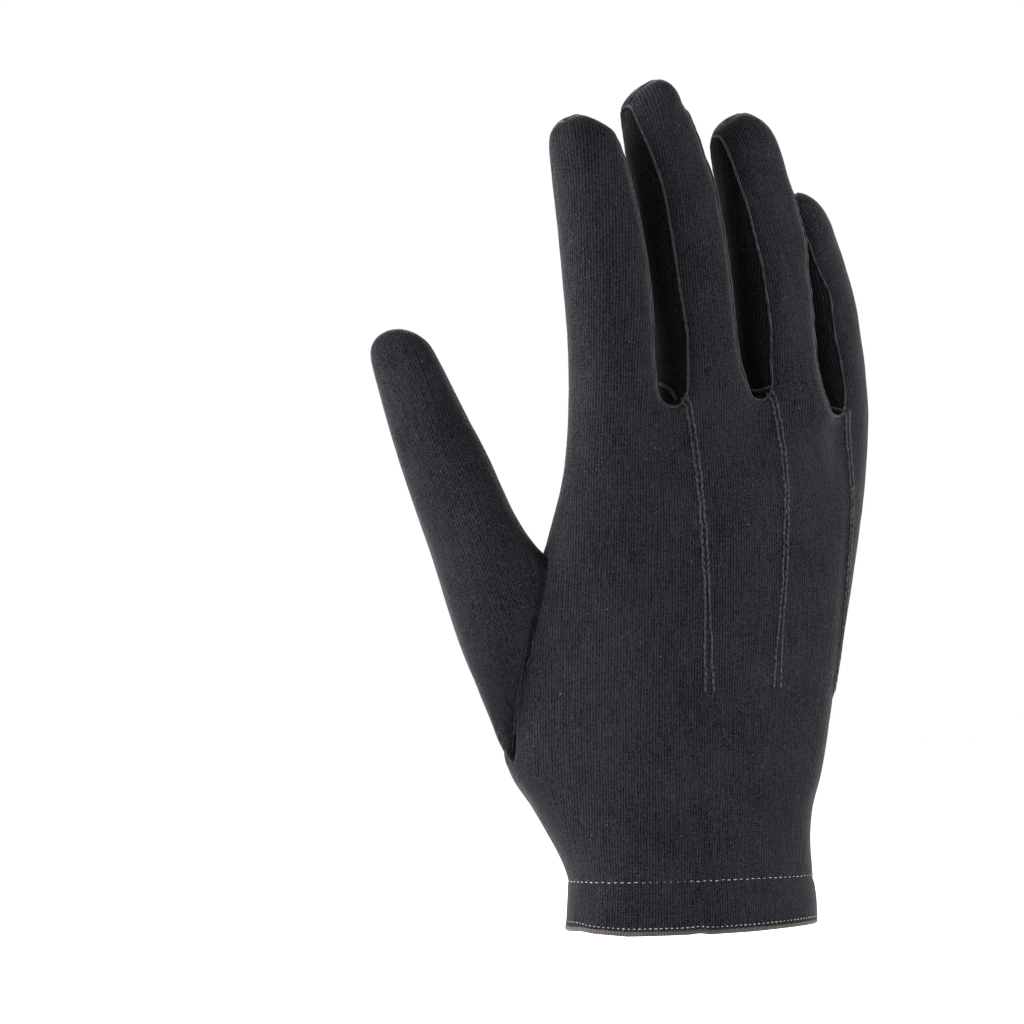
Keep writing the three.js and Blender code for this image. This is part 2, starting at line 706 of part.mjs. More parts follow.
function buildThumb() {
  const loop = thumbLoop();
  const count = loop.length;
  const grid = [loop];
  thumbRings.forEach((row, i) => {
    const outer = thumbPlanePoint(row.outerOut, row.outerUp);
    const inner = thumbPlanePoint(row.innerOut, row.innerUp);
    const ring = thumbRing(outer, inner, row.depth, count);
    const keep = 1 - ease((i + 1) / thumbBlendRings, 0, 1);
    grid.push(ring.map((point, k) => {
      point.lerp(skin.points[loop[k]], keep);
      return addPoint(point.x, point.y, point.z);
    }));
  });
  closeThumb(grid, count);
  for (let row = 0; row < grid.length - 1; row += 1) {
    for (let k = 0; k < count; k += 1) {
      const next = (k + 1) % count;
      addFace('thumb', [grid[row][k], grid[row][next], grid[row + 1][next], grid[row + 1][k]]);
    }
  }
}

function closeThumb(grid, count) {
  const last = thumbRings[thumbRings.length - 1];
  const before = thumbRings[thumbRings.length - 2];
  const outer = thumbPlanePoint(last.outerOut, last.outerUp);
  const inner = thumbPlanePoint(last.innerOut, last.innerUp);
  const way = thumbPlanePoint(last.outerOut + last.innerOut, last.outerUp + last.innerUp)
    .sub(thumbPlanePoint(before.outerOut + before.innerOut, before.outerUp + before.innerUp))
    .normalize();
  const middle = outer.clone().add(inner).multiplyScalar(0.5);
  const radius = outer.distanceTo(inner) / 2;
  for (const share of [0.35, 0.62, 0.82, 0.95]) {
    const size = Math.sqrt(1 - share * share);
    const centre = middle.clone().addScaledVector(way, share * radius);
    const ring = thumbRing(outer.clone().sub(middle).multiplyScalar(size).add(centre),
      inner.clone().sub(middle).multiplyScalar(size).add(centre), last.depth * size, count);
    grid.push(ring.map((point) => addPoint(point.x, point.y, point.z)));
  }
  const tip = middle.clone().addScaledVector(way, radius);
  const apex = addPoint(tip.x, tip.y, tip.z);
  grid.push(Array(count).fill(apex));
}

// Outward normals of the shared corners, longer where two panels meet at a fold
function cornerNormals(points, faces) {
  const sums = points.map(() => new THREE.Vector3());
  const list = points.map(() => []);
  for (const face of faces) {
    const n = face.corners.length;
    for (let i = 0; i < n; i += 1) {
      const here = points[face.corners[i]];
      const next = points[face.corners[(i + 1) % n]].clone().sub(here);
      const last = points[face.corners[(i + n - 1) % n]].clone().sub(here);
      const normal = next.clone().cross(last);
      if (normal.lengthSq() < 1e-12) continue;
      normal.normalize();
      sums[face.corners[i]].addScaledVector(normal, next.angleTo(last));
      list[face.corners[i]].push(normal);
    }
  }
  return sums.map((sum, i) => {
    sum.normalize();
    const facing = list[i].map((normal) => normal.dot(sum));
    const mean = facing.reduce((a, b) => a + b, 0) / Math.max(facing.length, 1);
    return sum.divideScalar(Math.max(mean, 0.72));
  });
}

// A panel of cloth: its faces taken from the skin, set back from its neighbours and given a wall
function panelGeometry(faces, outside, inside, setBack) {
  const used = [...new Set(faces.flatMap((face) => face.corners))];
  const edges = new Map();
  for (const face of faces) {
    face.corners.forEach((a, i) => {
      const b = face.corners[(i + 1) % face.corners.length];
      const back = `${b}_${a}`;
      if (edges.has(back)) edges.delete(back);
      else edges.set(`${a}_${b}`, [a, b]);
    });
  }
  const rim = new Set([...edges.values()].flat());
  const inner = new Map();
  for (const face of faces) {
    const middle = face.corners.reduce((sum, c) => sum.add(skin.points[c]), new THREE.Vector3())
      .divideScalar(face.corners.length);
    for (const c of face.corners) {
      if (!rim.has(c)) continue;
      if (!inner.has(c)) inner.set(c, new THREE.Vector3());
      inner.get(c).add(middle.clone().sub(skin.points[c]).normalize());
    }
  }
  const along = new Map();
  for (const [a, b] of edges.values()) {
    const way = skin.points[b].clone().sub(skin.points[a]).normalize();
    for (const c of [a, b]) {
      if (!along.has(c)) along.set(c, []);
      along.get(c).push(way);
    }
  }
  const positions = [];
  const at = new Map();
  for (const depth of [outside, inside]) {
    for (const c of used) {
      const point = skin.points[c].clone().addScaledVector(normals[c], -depth);
      if (rim.has(c) && setBack > 0) {
        const way = inner.get(c).clone();
        const edge = along.get(c).reduce((sum, v) => sum.add(v), new THREE.Vector3()).normalize();
        if (along.get(c).length === 2) way.addScaledVector(edge, -way.dot(edge));
        way.addScaledVector(normals[c], -way.dot(normals[c]) / normals[c].lengthSq());
        if (way.lengthSq() > 1e-9) point.addScaledVector(way.normalize(), setBack);
      }
      at.set(`${c}_${depth}`, positions.length / 3);
      positions.push(point.x, point.y, point.z);
    }
  }
  const index = [];
  const triangles = (corners) => {
    for (let i = 1; i < corners.length - 1; i += 1) index.push(corners[0], corners[i], corners[i + 1]);
  };
  for (const face of faces) {
    triangles(face.corners.map((c) => at.get(`${c}_${outside}`)));
    triangles(face.corners.map((c) => at.get(`${c}_${inside}`)).reverse());
  }
  for (const [a, b] of edges.values()) {
    triangles([at.get(`${b}_${outside}`), at.get(`${a}_${outside}`),
      at.get(`${a}_${inside}`), at.get(`${b}_${inside}`)]);
  }
  const geometry = new THREE.BufferGeometry();
  geometry.setAttribute('position', new THREE.Float32BufferAttribute(positions, 3));
  geometry.setIndex(index);
  geometry.computeVertexNormals();
  return geometry;
}

buildTrankRows();
buildTrankFaces();
const overGrid = buildFlap(true);
const underGrid = buildFlap(false);
buildFolds();
fingers.forEach(buildFinger);
buildThumb();
const normals = cornerNormals(skin.points, skin.faces);

// A bead of cloth swept along a line: rounded section, closed at both ends
const beadSides = 6;

function beadGeometry(stations, width, depth) {
  const positions = [];
  for (const station of stations) {
    for (let k = 0; k < beadSides; k += 1) {
      const point = roundedBox((2 * Math.PI * (k + 0.5)) / beadSides, 2.6);
      const at = station.at.clone()
        .addScaledVector(station.away, (point.across * width) / 2)
        .addScaledVector(station.out, (point.back * depth) / 2);
      positions.push(at.x, at.y, at.z);
    }
  }
  const index = [];
  const last = stations.length - 1;
  for (let i = 0; i < last; i += 1) {
    for (let k = 0; k < beadSides; k += 1) {
      const next = (k + 1) % beadSides;
      const [a, b, c, d] = [[i, k], [i, next], [i + 1, next], [i + 1, k]].map(([r, q]) => r * beadSides + q);
      index.push(a, b, c, a, c, d);
    }
  }
  for (let k = 1; k < beadSides - 1; k += 1) {
    index.push(0, k + 1, k);
    index.push(last * beadSides, last * beadSides + k, last * beadSides + k + 1);
  }
  const geometry = new THREE.BufferGeometry();
  geometry.setAttribute('position', new THREE.Float32BufferAttribute(positions, 3));
  geometry.setIndex(index);
  if (signedVolume(geometry) < 0) geometry.setIndex(index.reverse());
  geometry.computeVertexNormals();
  return geometry;
}

function signedVolume(geometry) {
  const at = geometry.attributes.position;
  const corner = (i) => new THREE.Vector3().fromBufferAttribute(at, geometry.index.getX(i));
  let volume = 0;
  for (let i = 0; i < geometry.index.count; i += 3) {
    volume += corner(i).dot(corner(i + 1).cross(corner(i + 2))) / 6;
  }
  return volume;
}

// Stations of a bead beside a cloth edge: past the edge, in the middle of the wall
function edgeStations(corners) {
  return corners.map((corner, i) => {
    const here = skin.points[corner];
    const next = skin.points[corners[Math.min(i + 1, corners.length - 1)]];
    const last = skin.points[corners[Math.max(i - 1, 0)]];
    const along = next.clone().sub(last).normalize();
    const out = normals[corner].clone().normalize();
    const away = along.clone().cross(out).normalize();
    const at = here.clone().addScaledVector(out, -wall / 2).addScaledVector(away, seamGap + bindingWidth / 2);
    return { at, out: away.clone().cross(along).normalize(), away };
  });
}

const flapEdge = (grid) => grid.map((line) => line[flapSteps]);

function hemBindingStations() {
  const ring = hand[0].ring;
  const corners = [...underGrid[0].slice(1).reverse(), hand[0].ventUnder];
  for (let column = ventColumn + 1; column < ringColumns; column += 1) corners.push(ring[column]);
  for (let column = 0; column <= ventColumn; column += 1) corners.push(ring[column]);
  corners.push(...overGrid[0].slice(1));
  return edgeStations(corners);
}

function ventBindingStations() {
  const keyhole = rows.map((z, row) => row).slice(crossingRow + 1, keyholeHighRow);
  const corners = [
    ...flapEdge(overGrid).slice(0, crossingRow),
    hand[crossingRow].ring[ventColumn],
    ...keyhole.map((row) => hand[row].ring[ventColumn]),
    hand[keyholeHighRow].ring[ventColumn],
    ...keyhole.map((row) => hand[row].ventUnder).reverse(),
    hand[crossingRow].ventUnder,
    ...flapEdge(underGrid).slice(0, crossingRow).reverse(),
  ];
  return edgeStations(corners);
}

// Place and outward direction on the back at a row, between two columns
function backPlace(row, column) {
  const first = Math.floor(column);
  const [low, high] = [hand[row].ring[first], hand[row].ring[first + 1]];
  return {
    at: skin.points[low].clone().lerp(skin.points[high], column - first),
    out: normals[low].clone().lerp(normals[high], column - first).normalize(),
  };
}

// A raised line of stitching down the back, below the crotch between two fingers
function pointStations(crossing) {
  const crotch = crotches[crossing];
  const first = rows.findIndex((z) => z >= pointLow);
  const columnAt = (row) => {
    const share = (rows[lastRow] - rows[row]) / (rows[lastRow] - rows[first]);
    return 2 + (crossing + 1) * stripSteps + mix(crotch.pointTop, crotch.pointEnd, share);
  };
  const stations = [];
  for (let row = first; row < lastRow; row += 1) {
    const here = backPlace(row, columnAt(row));
    const next = backPlace(row + 1, columnAt(row + 1));
    const last = backPlace(row - 1, columnAt(row - 1));
    const along = next.at.clone().sub(last.at).normalize();
    const away = along.clone().cross(here.out).normalize();
    stations.push({
      at: here.at.addScaledVector(here.out, pointGap + pointRise / 2),
      out: away.clone().cross(along).normalize(),
      away,
    });
  }
  return stations;
}

// Place on the palm beside the slit at any height, lifted off the plain cloth
function besideSlit(distance, z, lift) {
  let row = 0;
  while (rows[row + 1] < z) row += 1;
  const share = (z - rows[row]) / (rows[row + 1] - rows[row]);
  const low = pastSlit(distance, row, lift);
  const high = pastSlit(distance, row + 1, lift);
  return new THREE.Vector3(mix(low.x, high.x, share), mix(low.y, high.y, share), mix(low.z, high.z, share));
}

// Seat of a round piece on the cloth beside the slit: clear of it over its whole width
function snapSeat(lift, radius, side) {
  const place = (across, up) => besideSlit(across - snapInset, snapHeight + up, lift);
  const middle = place(0, 0);
  const rim = [place(radius, 0), place(-radius, 0), place(0, radius), place(0, -radius)];
  const out = rim[2].clone().sub(rim[3]).cross(rim[1].clone().sub(rim[0])).normalize();
  if (out.dot(place(0, 0).sub(besideSlit(-snapInset, snapHeight, lift - 1))) < 0) out.negate();
  const rise = Math.max(0, ...rim.map((point) => side * point.sub(middle).dot(out)));
  return { base: middle.addScaledVector(out, side * (rise + seamGap)), out };
}

function addSnapPiece(name, geometry, seat, material) {
  const mesh = addMesh(name, geometry, material);
  mesh.position.copy(seat.base);
  mesh.quaternion.setFromUnitVectors(new THREE.Vector3(0, 1, 0), seat.out);
}

function capGeometry() {
  const radius = snapDiameter / 2;
  const profile = [
    [0, 0], [radius * 0.93, 0], [radius, snapDome * 0.16], [radius, snapDome * 0.36],
    [radius * 0.93, snapDome * 0.6], [radius * 0.7, snapDome * 0.84], [radius * 0.4, snapDome * 0.96], [0, snapDome],
  ];
  return new THREE.LatheGeometry(profile.map(([r, h]) => new THREE.Vector2(r, h)), 20);
}

const cloth = (colour) => new THREE.MeshStandardMaterial({ color: colour, roughness: 0.95, metalness: 0 });
const clothBlack = 0x2c2c2f;
const clothSide = 0x242427;

const group = new THREE.Group();

function addMesh(name, geometry, material) {
  const mesh = new THREE.Mesh(geometry, material);
  mesh.name = name;
  group.add(mesh);
  return mesh;
}

const panelNames = [...new Set(skin.faces.map((face) => face.panel))];
for (const name of panelNames) {
  const faces = skin.faces.filter((face) => face.panel === name);
  const colour = name.startsWith('fourchette') ? clothSide : clothBlack;
  const setBack = name === 'thumb' ? thumbSetBack : seamGap / 2;
  addMesh(name, panelGeometry(faces, 0, wall, setBack), cloth(colour));
}

// The hem's cloth is turned up inside the wrist, short of the flaps
const hemFaces = skin.faces.filter((face) => face.isHem);
const hemOutside = wall + seamGap;
addMesh('hem_band', panelGeometry(hemFaces, hemOutside, hemOutside + hemCloth, seamGap / 2), cloth(clothSide));
addMesh('hem_binding', beadGeometry(hemBindingStations(), bindingWidth, bindingDepth), cloth(clothBlack));
addMesh('vent_binding', beadGeometry(ventBindingStations(), bindingWidth, bindingDepth), cloth(clothBlack));
crotches.forEach((crotch, i) => {
  addMesh(`point_${crotch.name}`, beadGeometry(pointStations(i), pointWidth, pointRise), cloth(clothBlack));
});

const enamel = new THREE.MeshStandardMaterial({ color: 0x141416, roughness: 0.18, metalness: 0.1 });
const steel = new THREE.MeshStandardMaterial({ color: 0x6f7072, roughness: 0.35, metalness: 1 });
const disc = (diameter, low, high) => new THREE.CylinderGeometry(diameter / 2, diameter / 2, high - low, 20)
  .translate(0, (low + high) / 2, 0);
const capSeat = snapSeat(flapRise, snapDiameter / 2, 1);
const socketSeat = snapSeat(-flapRise, socketDiameter / 2, 1);
const socketTop = snapSeat(flapRise - wall, socketDiameter / 2, -1);
const studSeat = snapSeat(-flapRise - wall, studDiameter / 2, -1);
const socketHeight = socketTop.base.clone().sub(socketSeat.base).dot(socketSeat.out);
addSnapPiece('snap_cap', capGeometry(), capSeat, enamel);
addSnapPiece('snap_socket', disc(socketDiameter, 0, socketHeight), socketSeat, steel);
addSnapPiece('snap_stud', disc(studDiameter, -studPlate, 0), studSeat, steel);

export default group;
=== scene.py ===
# Dress glove of black knit in its worn shape, back of the hand to the camera
import math

import bmesh
import bpy
import numpy as np
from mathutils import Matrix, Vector, kdtree, noise
from mathutils.bvhtree import BVHTree


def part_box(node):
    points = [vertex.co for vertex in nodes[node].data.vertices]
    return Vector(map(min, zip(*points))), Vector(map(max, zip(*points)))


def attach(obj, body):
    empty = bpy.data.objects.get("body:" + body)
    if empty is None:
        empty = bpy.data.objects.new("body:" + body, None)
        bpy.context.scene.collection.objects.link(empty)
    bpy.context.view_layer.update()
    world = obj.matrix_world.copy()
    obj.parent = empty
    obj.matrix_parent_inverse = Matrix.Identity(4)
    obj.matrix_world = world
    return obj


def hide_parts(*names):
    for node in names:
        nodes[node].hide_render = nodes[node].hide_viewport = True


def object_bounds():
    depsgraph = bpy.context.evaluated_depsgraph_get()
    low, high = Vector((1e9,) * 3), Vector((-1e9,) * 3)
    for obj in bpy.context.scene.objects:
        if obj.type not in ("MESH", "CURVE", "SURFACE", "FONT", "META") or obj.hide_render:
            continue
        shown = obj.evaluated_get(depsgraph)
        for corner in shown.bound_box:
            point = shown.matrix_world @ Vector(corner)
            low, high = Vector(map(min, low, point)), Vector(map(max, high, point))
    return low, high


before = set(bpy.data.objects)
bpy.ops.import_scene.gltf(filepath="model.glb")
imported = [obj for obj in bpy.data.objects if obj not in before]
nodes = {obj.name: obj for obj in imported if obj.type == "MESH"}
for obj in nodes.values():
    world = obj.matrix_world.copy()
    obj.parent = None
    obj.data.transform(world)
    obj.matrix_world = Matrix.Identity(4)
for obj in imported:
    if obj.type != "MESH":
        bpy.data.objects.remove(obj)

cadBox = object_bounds()
mm = 0.001

view = {"azimuth": math.radians(-28), "distance": 2.5, "width": 0.2891, "across": -0.0504, "height": 0.118,
        "sensor": 36, "far": 20}
stage = {"drop": 0.034, "reach": 3.0, "white": (0.97, 0.97, 0.97), "roughness": 0.9}

# Each light: how far toward the camera, to its right and up from the target, its size and its power
lamps = {
    "keyLight": (0.8, -0.2, 0.95, (0.7, 0.7), 4),
    "boxLeft": (0.25, -1.05, 0.2, (0.5, 1.0), 90),
    "boxRight": (0.45, 1.0, 0.3, (0.6, 1.1), 36),
    "rimLeft": (-0.35, -0.8, 0.3, (0.3, 0.9), 12),
    "rimRight": (-0.35, 0.8, 0.25, (0.3, 0.9), 6),
}

# The camera's view: to its right, and away from it
across = Vector((math.cos(view["azimuth"]), math.sin(view["azimuth"]), 0))
forward = Vector((-across.y, across.x, 0))


# Camera, floor and light
def makeCamera():
    target = across * view["across"] + Vector((0, 0, view["height"]))
    camera = bpy.data.objects.new("camera", bpy.data.cameras.new("camera"))
    camera.data.sensor_width = view["sensor"]
    camera.data.lens = view["sensor"] * view["distance"] / view["width"]
    camera.data.clip_end = view["far"]
    camera.location = target - forward * view["distance"]
    camera.rotation_euler = forward.to_track_quat("-Z", "Y").to_euler()
    bpy.context.scene.collection.objects.link(camera)
    bpy.context.scene.camera = camera
    return target


def addLight(name, target):
    near, beside, high, size, power = lamps[name]
    lamp = bpy.data.objects.new(name, bpy.data.lights.new(name, "AREA"))
    lamp.data.shape = "RECTANGLE"
    lamp.data.size, lamp.data.size_y = size
    lamp.data.energy = power
    lamp.location = target - forward * near + across * beside + Vector((0, 0, high))
    lamp.rotation_euler = (target - lamp.location).to_track_quat("-Z", "Y").to_euler()
    bpy.context.scene.collection.objects.link(lamp)


def makeWorld():
    world = bpy.data.worlds.new("studio")
    world.use_nodes = True
    world.node_tree.nodes["Background"].inputs["Color"].default_value = (1, 1, 1, 1)
    world.node_tree.nodes["Background"].inputs["Strength"].default_value = 1.0
    bpy.context.scene.world = world


def makeFloor():
    material = bpy.data.materials.new("paleFloor")
    material.use_nodes = True
    shader = material.node_tree.nodes["Principled BSDF"]
    shader.inputs["Base Color"].default_value = (*stage["white"], 1)
    shader.inputs["Roughness"].default_value = stage["roughness"]
    bm = bmesh.new()
    bmesh.ops.create_grid(bm, x_segments=1, y_segments=1, size=stage["reach"])
    bmesh.ops.translate(bm, vec=(0, 0, cadBox[0][2] - stage["drop"]), verts=bm.verts)
    floor = addPiece("floor", bm, material)


def addPiece(name, bm, *materials):
    mesh = bpy.data.meshes.new(name)
    bm.to_mesh(mesh)
    bm.free()
    for material in materials:
        mesh.materials.append(material)
    return addMesh(name, mesh)


def addMesh(name, mesh):
    mesh.polygons.foreach_set("use_smooth", [True] * len(mesh.polygons))
    piece = bpy.data.objects.new(name, mesh)
    bpy.context.scene.collection.objects.link(piece)
    return piece


bpy.context.scene.view_settings.view_transform = "Standard"
aim = makeCamera()
for name in lamps:
    addLight(name, aim)
makeWorld()
makeFloor()
print("stage: camera, lights and floor")


# Helpers for points, lines and surfaces
def treeOf(places):
    tree = kdtree.KDTree(max(len(places), 1))
    for index, place in enumerate(places):
        tree.insert(place, index)
    tree.balance()
    return tree


def surfaceOf(places, mesh):
    faces = [tuple(face.vertices) for face in mesh.polygons]
    return BVHTree.FromPolygons([tuple(place) for place in places], faces)


def distanceTo(targets, places):
    tree = treeOf(targets)
    return np.array([tree.find(place)[2] for place in places])


def readValues(items, field, width):
    values = np.zeros(len(items) * width)
    items.foreach_get(field, values)
    return values.reshape(-1, width)


def cornerVertices(mesh):
    corner = np.zeros(len(mesh.loops), int)
    mesh.loops.foreach_get("vertex_index", corner)
    return corner


def smoothLine(line, rounds=2):
    places = [Vector(place) for place in line]
    for _ in range(rounds):
        middle = [(places[i - 1] + places[i] * 2 + places[i + 1]) / 4 for i in range(1, len(places) - 1)]
        places = [places[0], *middle, places[-1]]
    return places


def resample(path, pitch):
    marks = [0.0]
    for a, b in zip(path, path[1:]):
        marks.append(marks[-1] + (b - a).length)
    count = max(int(marks[-1] / pitch), 1)
    places = []
    spot = 0
    for step in range(count + 1):
        target = marks[-1] * step / count
        while spot < len(marks) - 2 and marks[spot + 1] < target:
            spot += 1
        share = (target - marks[spot]) / max(marks[spot + 1] - marks[spot], 1e-9)
        places.append(path[spot].lerp(path[spot + 1], min(max(share, 0), 1)))
    return places


# The cloth's outer skin, joined from the panels' outer faces
panels = {
    "nodes": ["back_panel", "palm_panel", "fourchette_index_middle", "fourchette_middle_ring",
              "fourchette_ring_little", "thumb"],
    "names": ["backPanel", "palmPanel", "fourchetteIndexMiddle", "fourchetteMiddleRing",
              "fourchetteRingLittle", "thumbCloth"],
    "wall": 1.2 * mm, "weld": 1.3 * mm, "sameSpot": 0.005 * mm, "crease": math.radians(60),
    "longEdge": 8 * mm, "rounding": 2, "sameWay": 0.5,
}
backPanel, palmPanel, indexFourchette, thumbPanel = 0, 1, 2, 5
fourchettes = (2, 3, 4)

# A face's other side is looked for from just below it, within some walls, and facing well away from it
farSide = {"start": 0.05 * mm, "walls": 1.85, "facing": -0.6, "strayFaces": 4}

# Small holes in the skin are closed, but not at the vent or the hem
holes = {"vent": 3 * mm, "hem": 4 * mm, "sides": 12}


# The outer faces of a panel: the layer that is larger, or that meets the edges joined so far
def panelSkin(node, joined):
    bm = bmesh.new()
    bm.from_mesh(nodes[node].data)
    bmesh.ops.remove_doubles(bm, verts=bm.verts, dist=panels["sameSpot"])
    bm.normal_update()
    tree = BVHTree.FromBMesh(bm)
    behind = {}
    rims = set()
    bm.faces.ensure_lookup_table()
    for face in bm.faces:
        start = face.calc_center_median() - face.normal * farSide["start"]
        hit = tree.ray_cast(start, -face.normal, panels["wall"] * farSide["walls"])
        if hit[0] is None or hit[1].dot(face.normal) > farSide["facing"]:
            rims.add(face)
        else:
            behind[face] = bm.faces[hit[2]]
    groups = faceGroups(set(bm.faces) - rims, panels["crease"])
    owner = {face: index for index, group in enumerate(groups) for face in group}
    edges = [v.co for v in joined.verts if v.is_boundary] if joined else []
    nearEdge = treeOf(edges)

    def apart(group):
        rim = {v for face in group for v in face.verts if any(other in rims for other in v.link_faces)}
        return sum(nearEdge.find(v.co)[2] for v in rim) / max(len(rim), 1)

    outer = {}
    for index, group in enumerate(groups):
        partners = [owner.get(behind[face], index) for face in group]
        partner = max(set(partners), key=partners.count)
        if partner in outer:
            outer[index] = not outer[partner]
        elif edges and partner != index:
            outer[index] = apart(group) < apart(groups[partner])
        else:
            outer[index] = True
    lost = list(rims)
    for index, group in enumerate(groups):
        if not outer[index] or len(group) < farSide["strayFaces"]:
            lost += group
    bmesh.ops.delete(bm, geom=lost, context="FACES")
    return bm


# Faces joined over edges that bend less than the crease, largest group first
def faceGroups(faces, crease):
    left = set(faces)
    groups = []
    for first in sorted(faces, key=lambda face: face.index):
        if first not in left:
            continue
        left.discard(first)
        group = [first]
        for face in group:
            for e in face.edges:
                for other in e.link_faces:
                    if other in left and face.normal.angle(other.normal, 0) < crease:
                        left.discard(other)
                        group.append(other)
        groups.append(group)
    groups.sort(key=lambda group: -sum(face.calc_area() for face in group))
    return groups


def joinSkins():
    bm = bmesh.new()
    for index, node in enumerate(panels["nodes"]):
        part = panelSkin(node, bm if index > palmPanel else None)
        mesh = bpy.data.meshes.new("joining")
        part.to_mesh(mesh)
        part.free()
        before = len(bm.faces)
        bm.from_mesh(mesh)
        bm.faces.ensure_lookup_table()
        for face in bm.faces[before:]:
            face.material_index = index
        bpy.data.meshes.remove(mesh)
    edge = [v for v in bm.verts if v.is_boundary]
    bmesh.ops.remove_doubles(bm, verts=edge, dist=panels["weld"])
    return bm


def closeSmallHoles(bm):
    low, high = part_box("vent_binding")
    edges = []
    for e in bm.edges:
        place = (e.verts[0].co + e.verts[1].co) / 2
        inVent = all(low[k] - holes["vent"] < place[k] < high[k] + holes["vent"] for k in range(3))
        if e.is_boundary and place.z > holes["hem"] and not inVent:
            edges.append(e)
    filled = bmesh.ops.holes_fill(bm, edges=edges, sides=holes["sides"])["faces"]
    for face in filled:
        near = [other.material_index for e in face.edges for other in e.link_faces if other is not face]
        face.material_index = max(set(near), key=near.count)
    print("hole edges", len(edges), "filled", len(filled))


cloth = joinSkins()
closeSmallHoles(cloth)
bmesh.ops.join_triangles(cloth, faces=cloth.faces, cmp_materials=True,
                         angle_face_threshold=panels["crease"], angle_shape_threshold=panels["crease"])
bmesh.ops.recalc_face_normals(cloth, faces=cloth.faces)

# Long finger faces are cut across once, so that the cells are nearly square
longEdges = [e for e in cloth.edges if e.calc_length() > panels["longEdge"]]
bmesh.ops.subdivide_edges(cloth, edges=longEdges, cuts=1, use_grid_fill=True, smooth=0)
print("cloth", len(cloth.verts), len(cloth.faces), "open edges", sum(e.is_boundary for e in cloth.edges))


# Finishes: knit, edging, thread, enamel and steel. A noise is its scale, detail, roughness and stretch.
toneEnds = (0.1, 0.9)


class Finish:
    def __init__(self, name):
        self.material = bpy.data.materials.new(name)
        self.material.use_nodes = True
        self.tree = self.material.node_tree
        self.shader = self.tree.nodes["Principled BSDF"]
        self.uv = self.tree.nodes.new("ShaderNodeUVMap")
        self.uv.uv_map = "cloth"
        self.place = self.tree.nodes.new("ShaderNodeTexCoord")

    def clothXY(self):
        split = self.tree.nodes.new("ShaderNodeSeparateXYZ")
        self.tree.links.new(self.uv.outputs[0], split.inputs[0])
        return split.outputs["X"], split.outputs["Y"]

    def math(self, operation, first, second=None, clamp=False):
        node = self.tree.nodes.new("ShaderNodeMath")
        node.operation = operation
        node.use_clamp = clamp
        for slot, value in enumerate((first, second)):
            if isinstance(value, (int, float)):
                node.inputs[slot].default_value = value
            elif value is not None:
                self.tree.links.new(value, node.inputs[slot])
        return node.outputs[0]

    def noise(self, scale, detail, roughness=0.5, stretch=None, onMap=False):
        node = self.tree.nodes.new("ShaderNodeTexNoise")
        node.inputs["Scale"].default_value = scale
        node.inputs["Detail"].default_value = detail
        node.inputs["Roughness"].default_value = roughness
        source = self.uv.outputs[0] if onMap else self.place.outputs["Object"]
        if stretch:
            mapping = self.tree.nodes.new("ShaderNodeMapping")
            mapping.inputs["Scale"].default_value = stretch
            self.tree.links.new(source, mapping.inputs["Vector"])
            source = mapping.outputs[0]
        self.tree.links.new(source, node.inputs["Vector"])
        return self.math("SUBTRACT", node.outputs["Fac"], 0.5)

    def total(self, layers, shares):
        result = None
        for name, share in shares.items():
            part = self.math("MULTIPLY", layers[name], share)
            result = part if result is None else self.math("ADD", result, part)
        return result

    def tones(self, shade, deep, pale):
        node = self.tree.nodes.new("ShaderNodeValToRGB")
        for element, colour, position in zip(node.color_ramp.elements, (deep, pale), toneEnds):
            element.color = (*colour, 1)
            element.position = position
        self.tree.links.new(self.math("ADD", shade, 0.5, clamp=True), node.inputs[0])
        return node.outputs[0]

    def mixColour(self, factor, first, colour):
        node = self.tree.nodes.new("ShaderNodeMix")
        node.data_type = "RGBA"
        self.tree.links.new(factor, node.inputs["Factor"])
        self.tree.links.new(first, node.inputs["A"])
        node.inputs["B"].default_value = (*colour, 1)
        return node.outputs["Result"]

    def bump(self, height, look):
        node = self.tree.nodes.new("ShaderNodeBump")
        node.inputs["Strength"].default_value = look["strength"]
        node.inputs["Distance"].default_value = look["depth"]
        self.tree.links.new(height, node.inputs["Height"])
        self.tree.links.new(node.outputs[0], self.shader.inputs["Normal"])

    def finish(self, colour, **values):
        self.tree.links.new(colour, self.shader.inputs["Base Color"])
        for name, value in values.items():
            self.shader.inputs[name.replace("_", " ")].default_value = value
        return self.material


knitLook = {
    "wale": 0.84 * mm, "course": 0.66 * mm, "legs": 1.4, "drift": (70, 2), "wobble": 0.55 * mm,
    "streak": (1, 3, 0.7, (1150, 90, 1)), "cloud": (45, 4, 0.6), "fuzz": (1700, 2, 0.65), "speck": (1900, 1),
    "deep": (0.0005, 0.0004, 0.0008), "pale": (0.0098, 0.0094, 0.0111),
    "speckColour": (0.045, 0.044, 0.044), "speckAbove": 0.262, "speckEdge": 25,
    "shade": {"wale": 0.18, "course": 0.08, "streak": 0.6, "cloud": 0.5, "fuzz": 1.55},
    "bump": {"wale": 0.5, "course": 0.2, "streak": 0.5, "fuzz": 0.8}, "strength": 0.6, "depth": 0.14 * mm,
    "sheen": 0.15,
}
edgingLook = {
    "fuzz": (1500, 2, 0.6), "cloud": (90, 2), "shade": {"rib": 0.22, "fuzz": 0.8, "cloud": 0.3},
    "bump": {"rib": 0.6, "fuzz": 0.8}, "strength": 0.5, "depth": 0.15 * mm,
}
threadLook = {"twist": (2600, 1), "strength": 0.4, "depth": 0.06 * mm, "sheen": 0.4}
hardLook = {"scuff": (420, 3), "strength": 0.04, "depth": 0.05 * mm, "dark": 0.8}


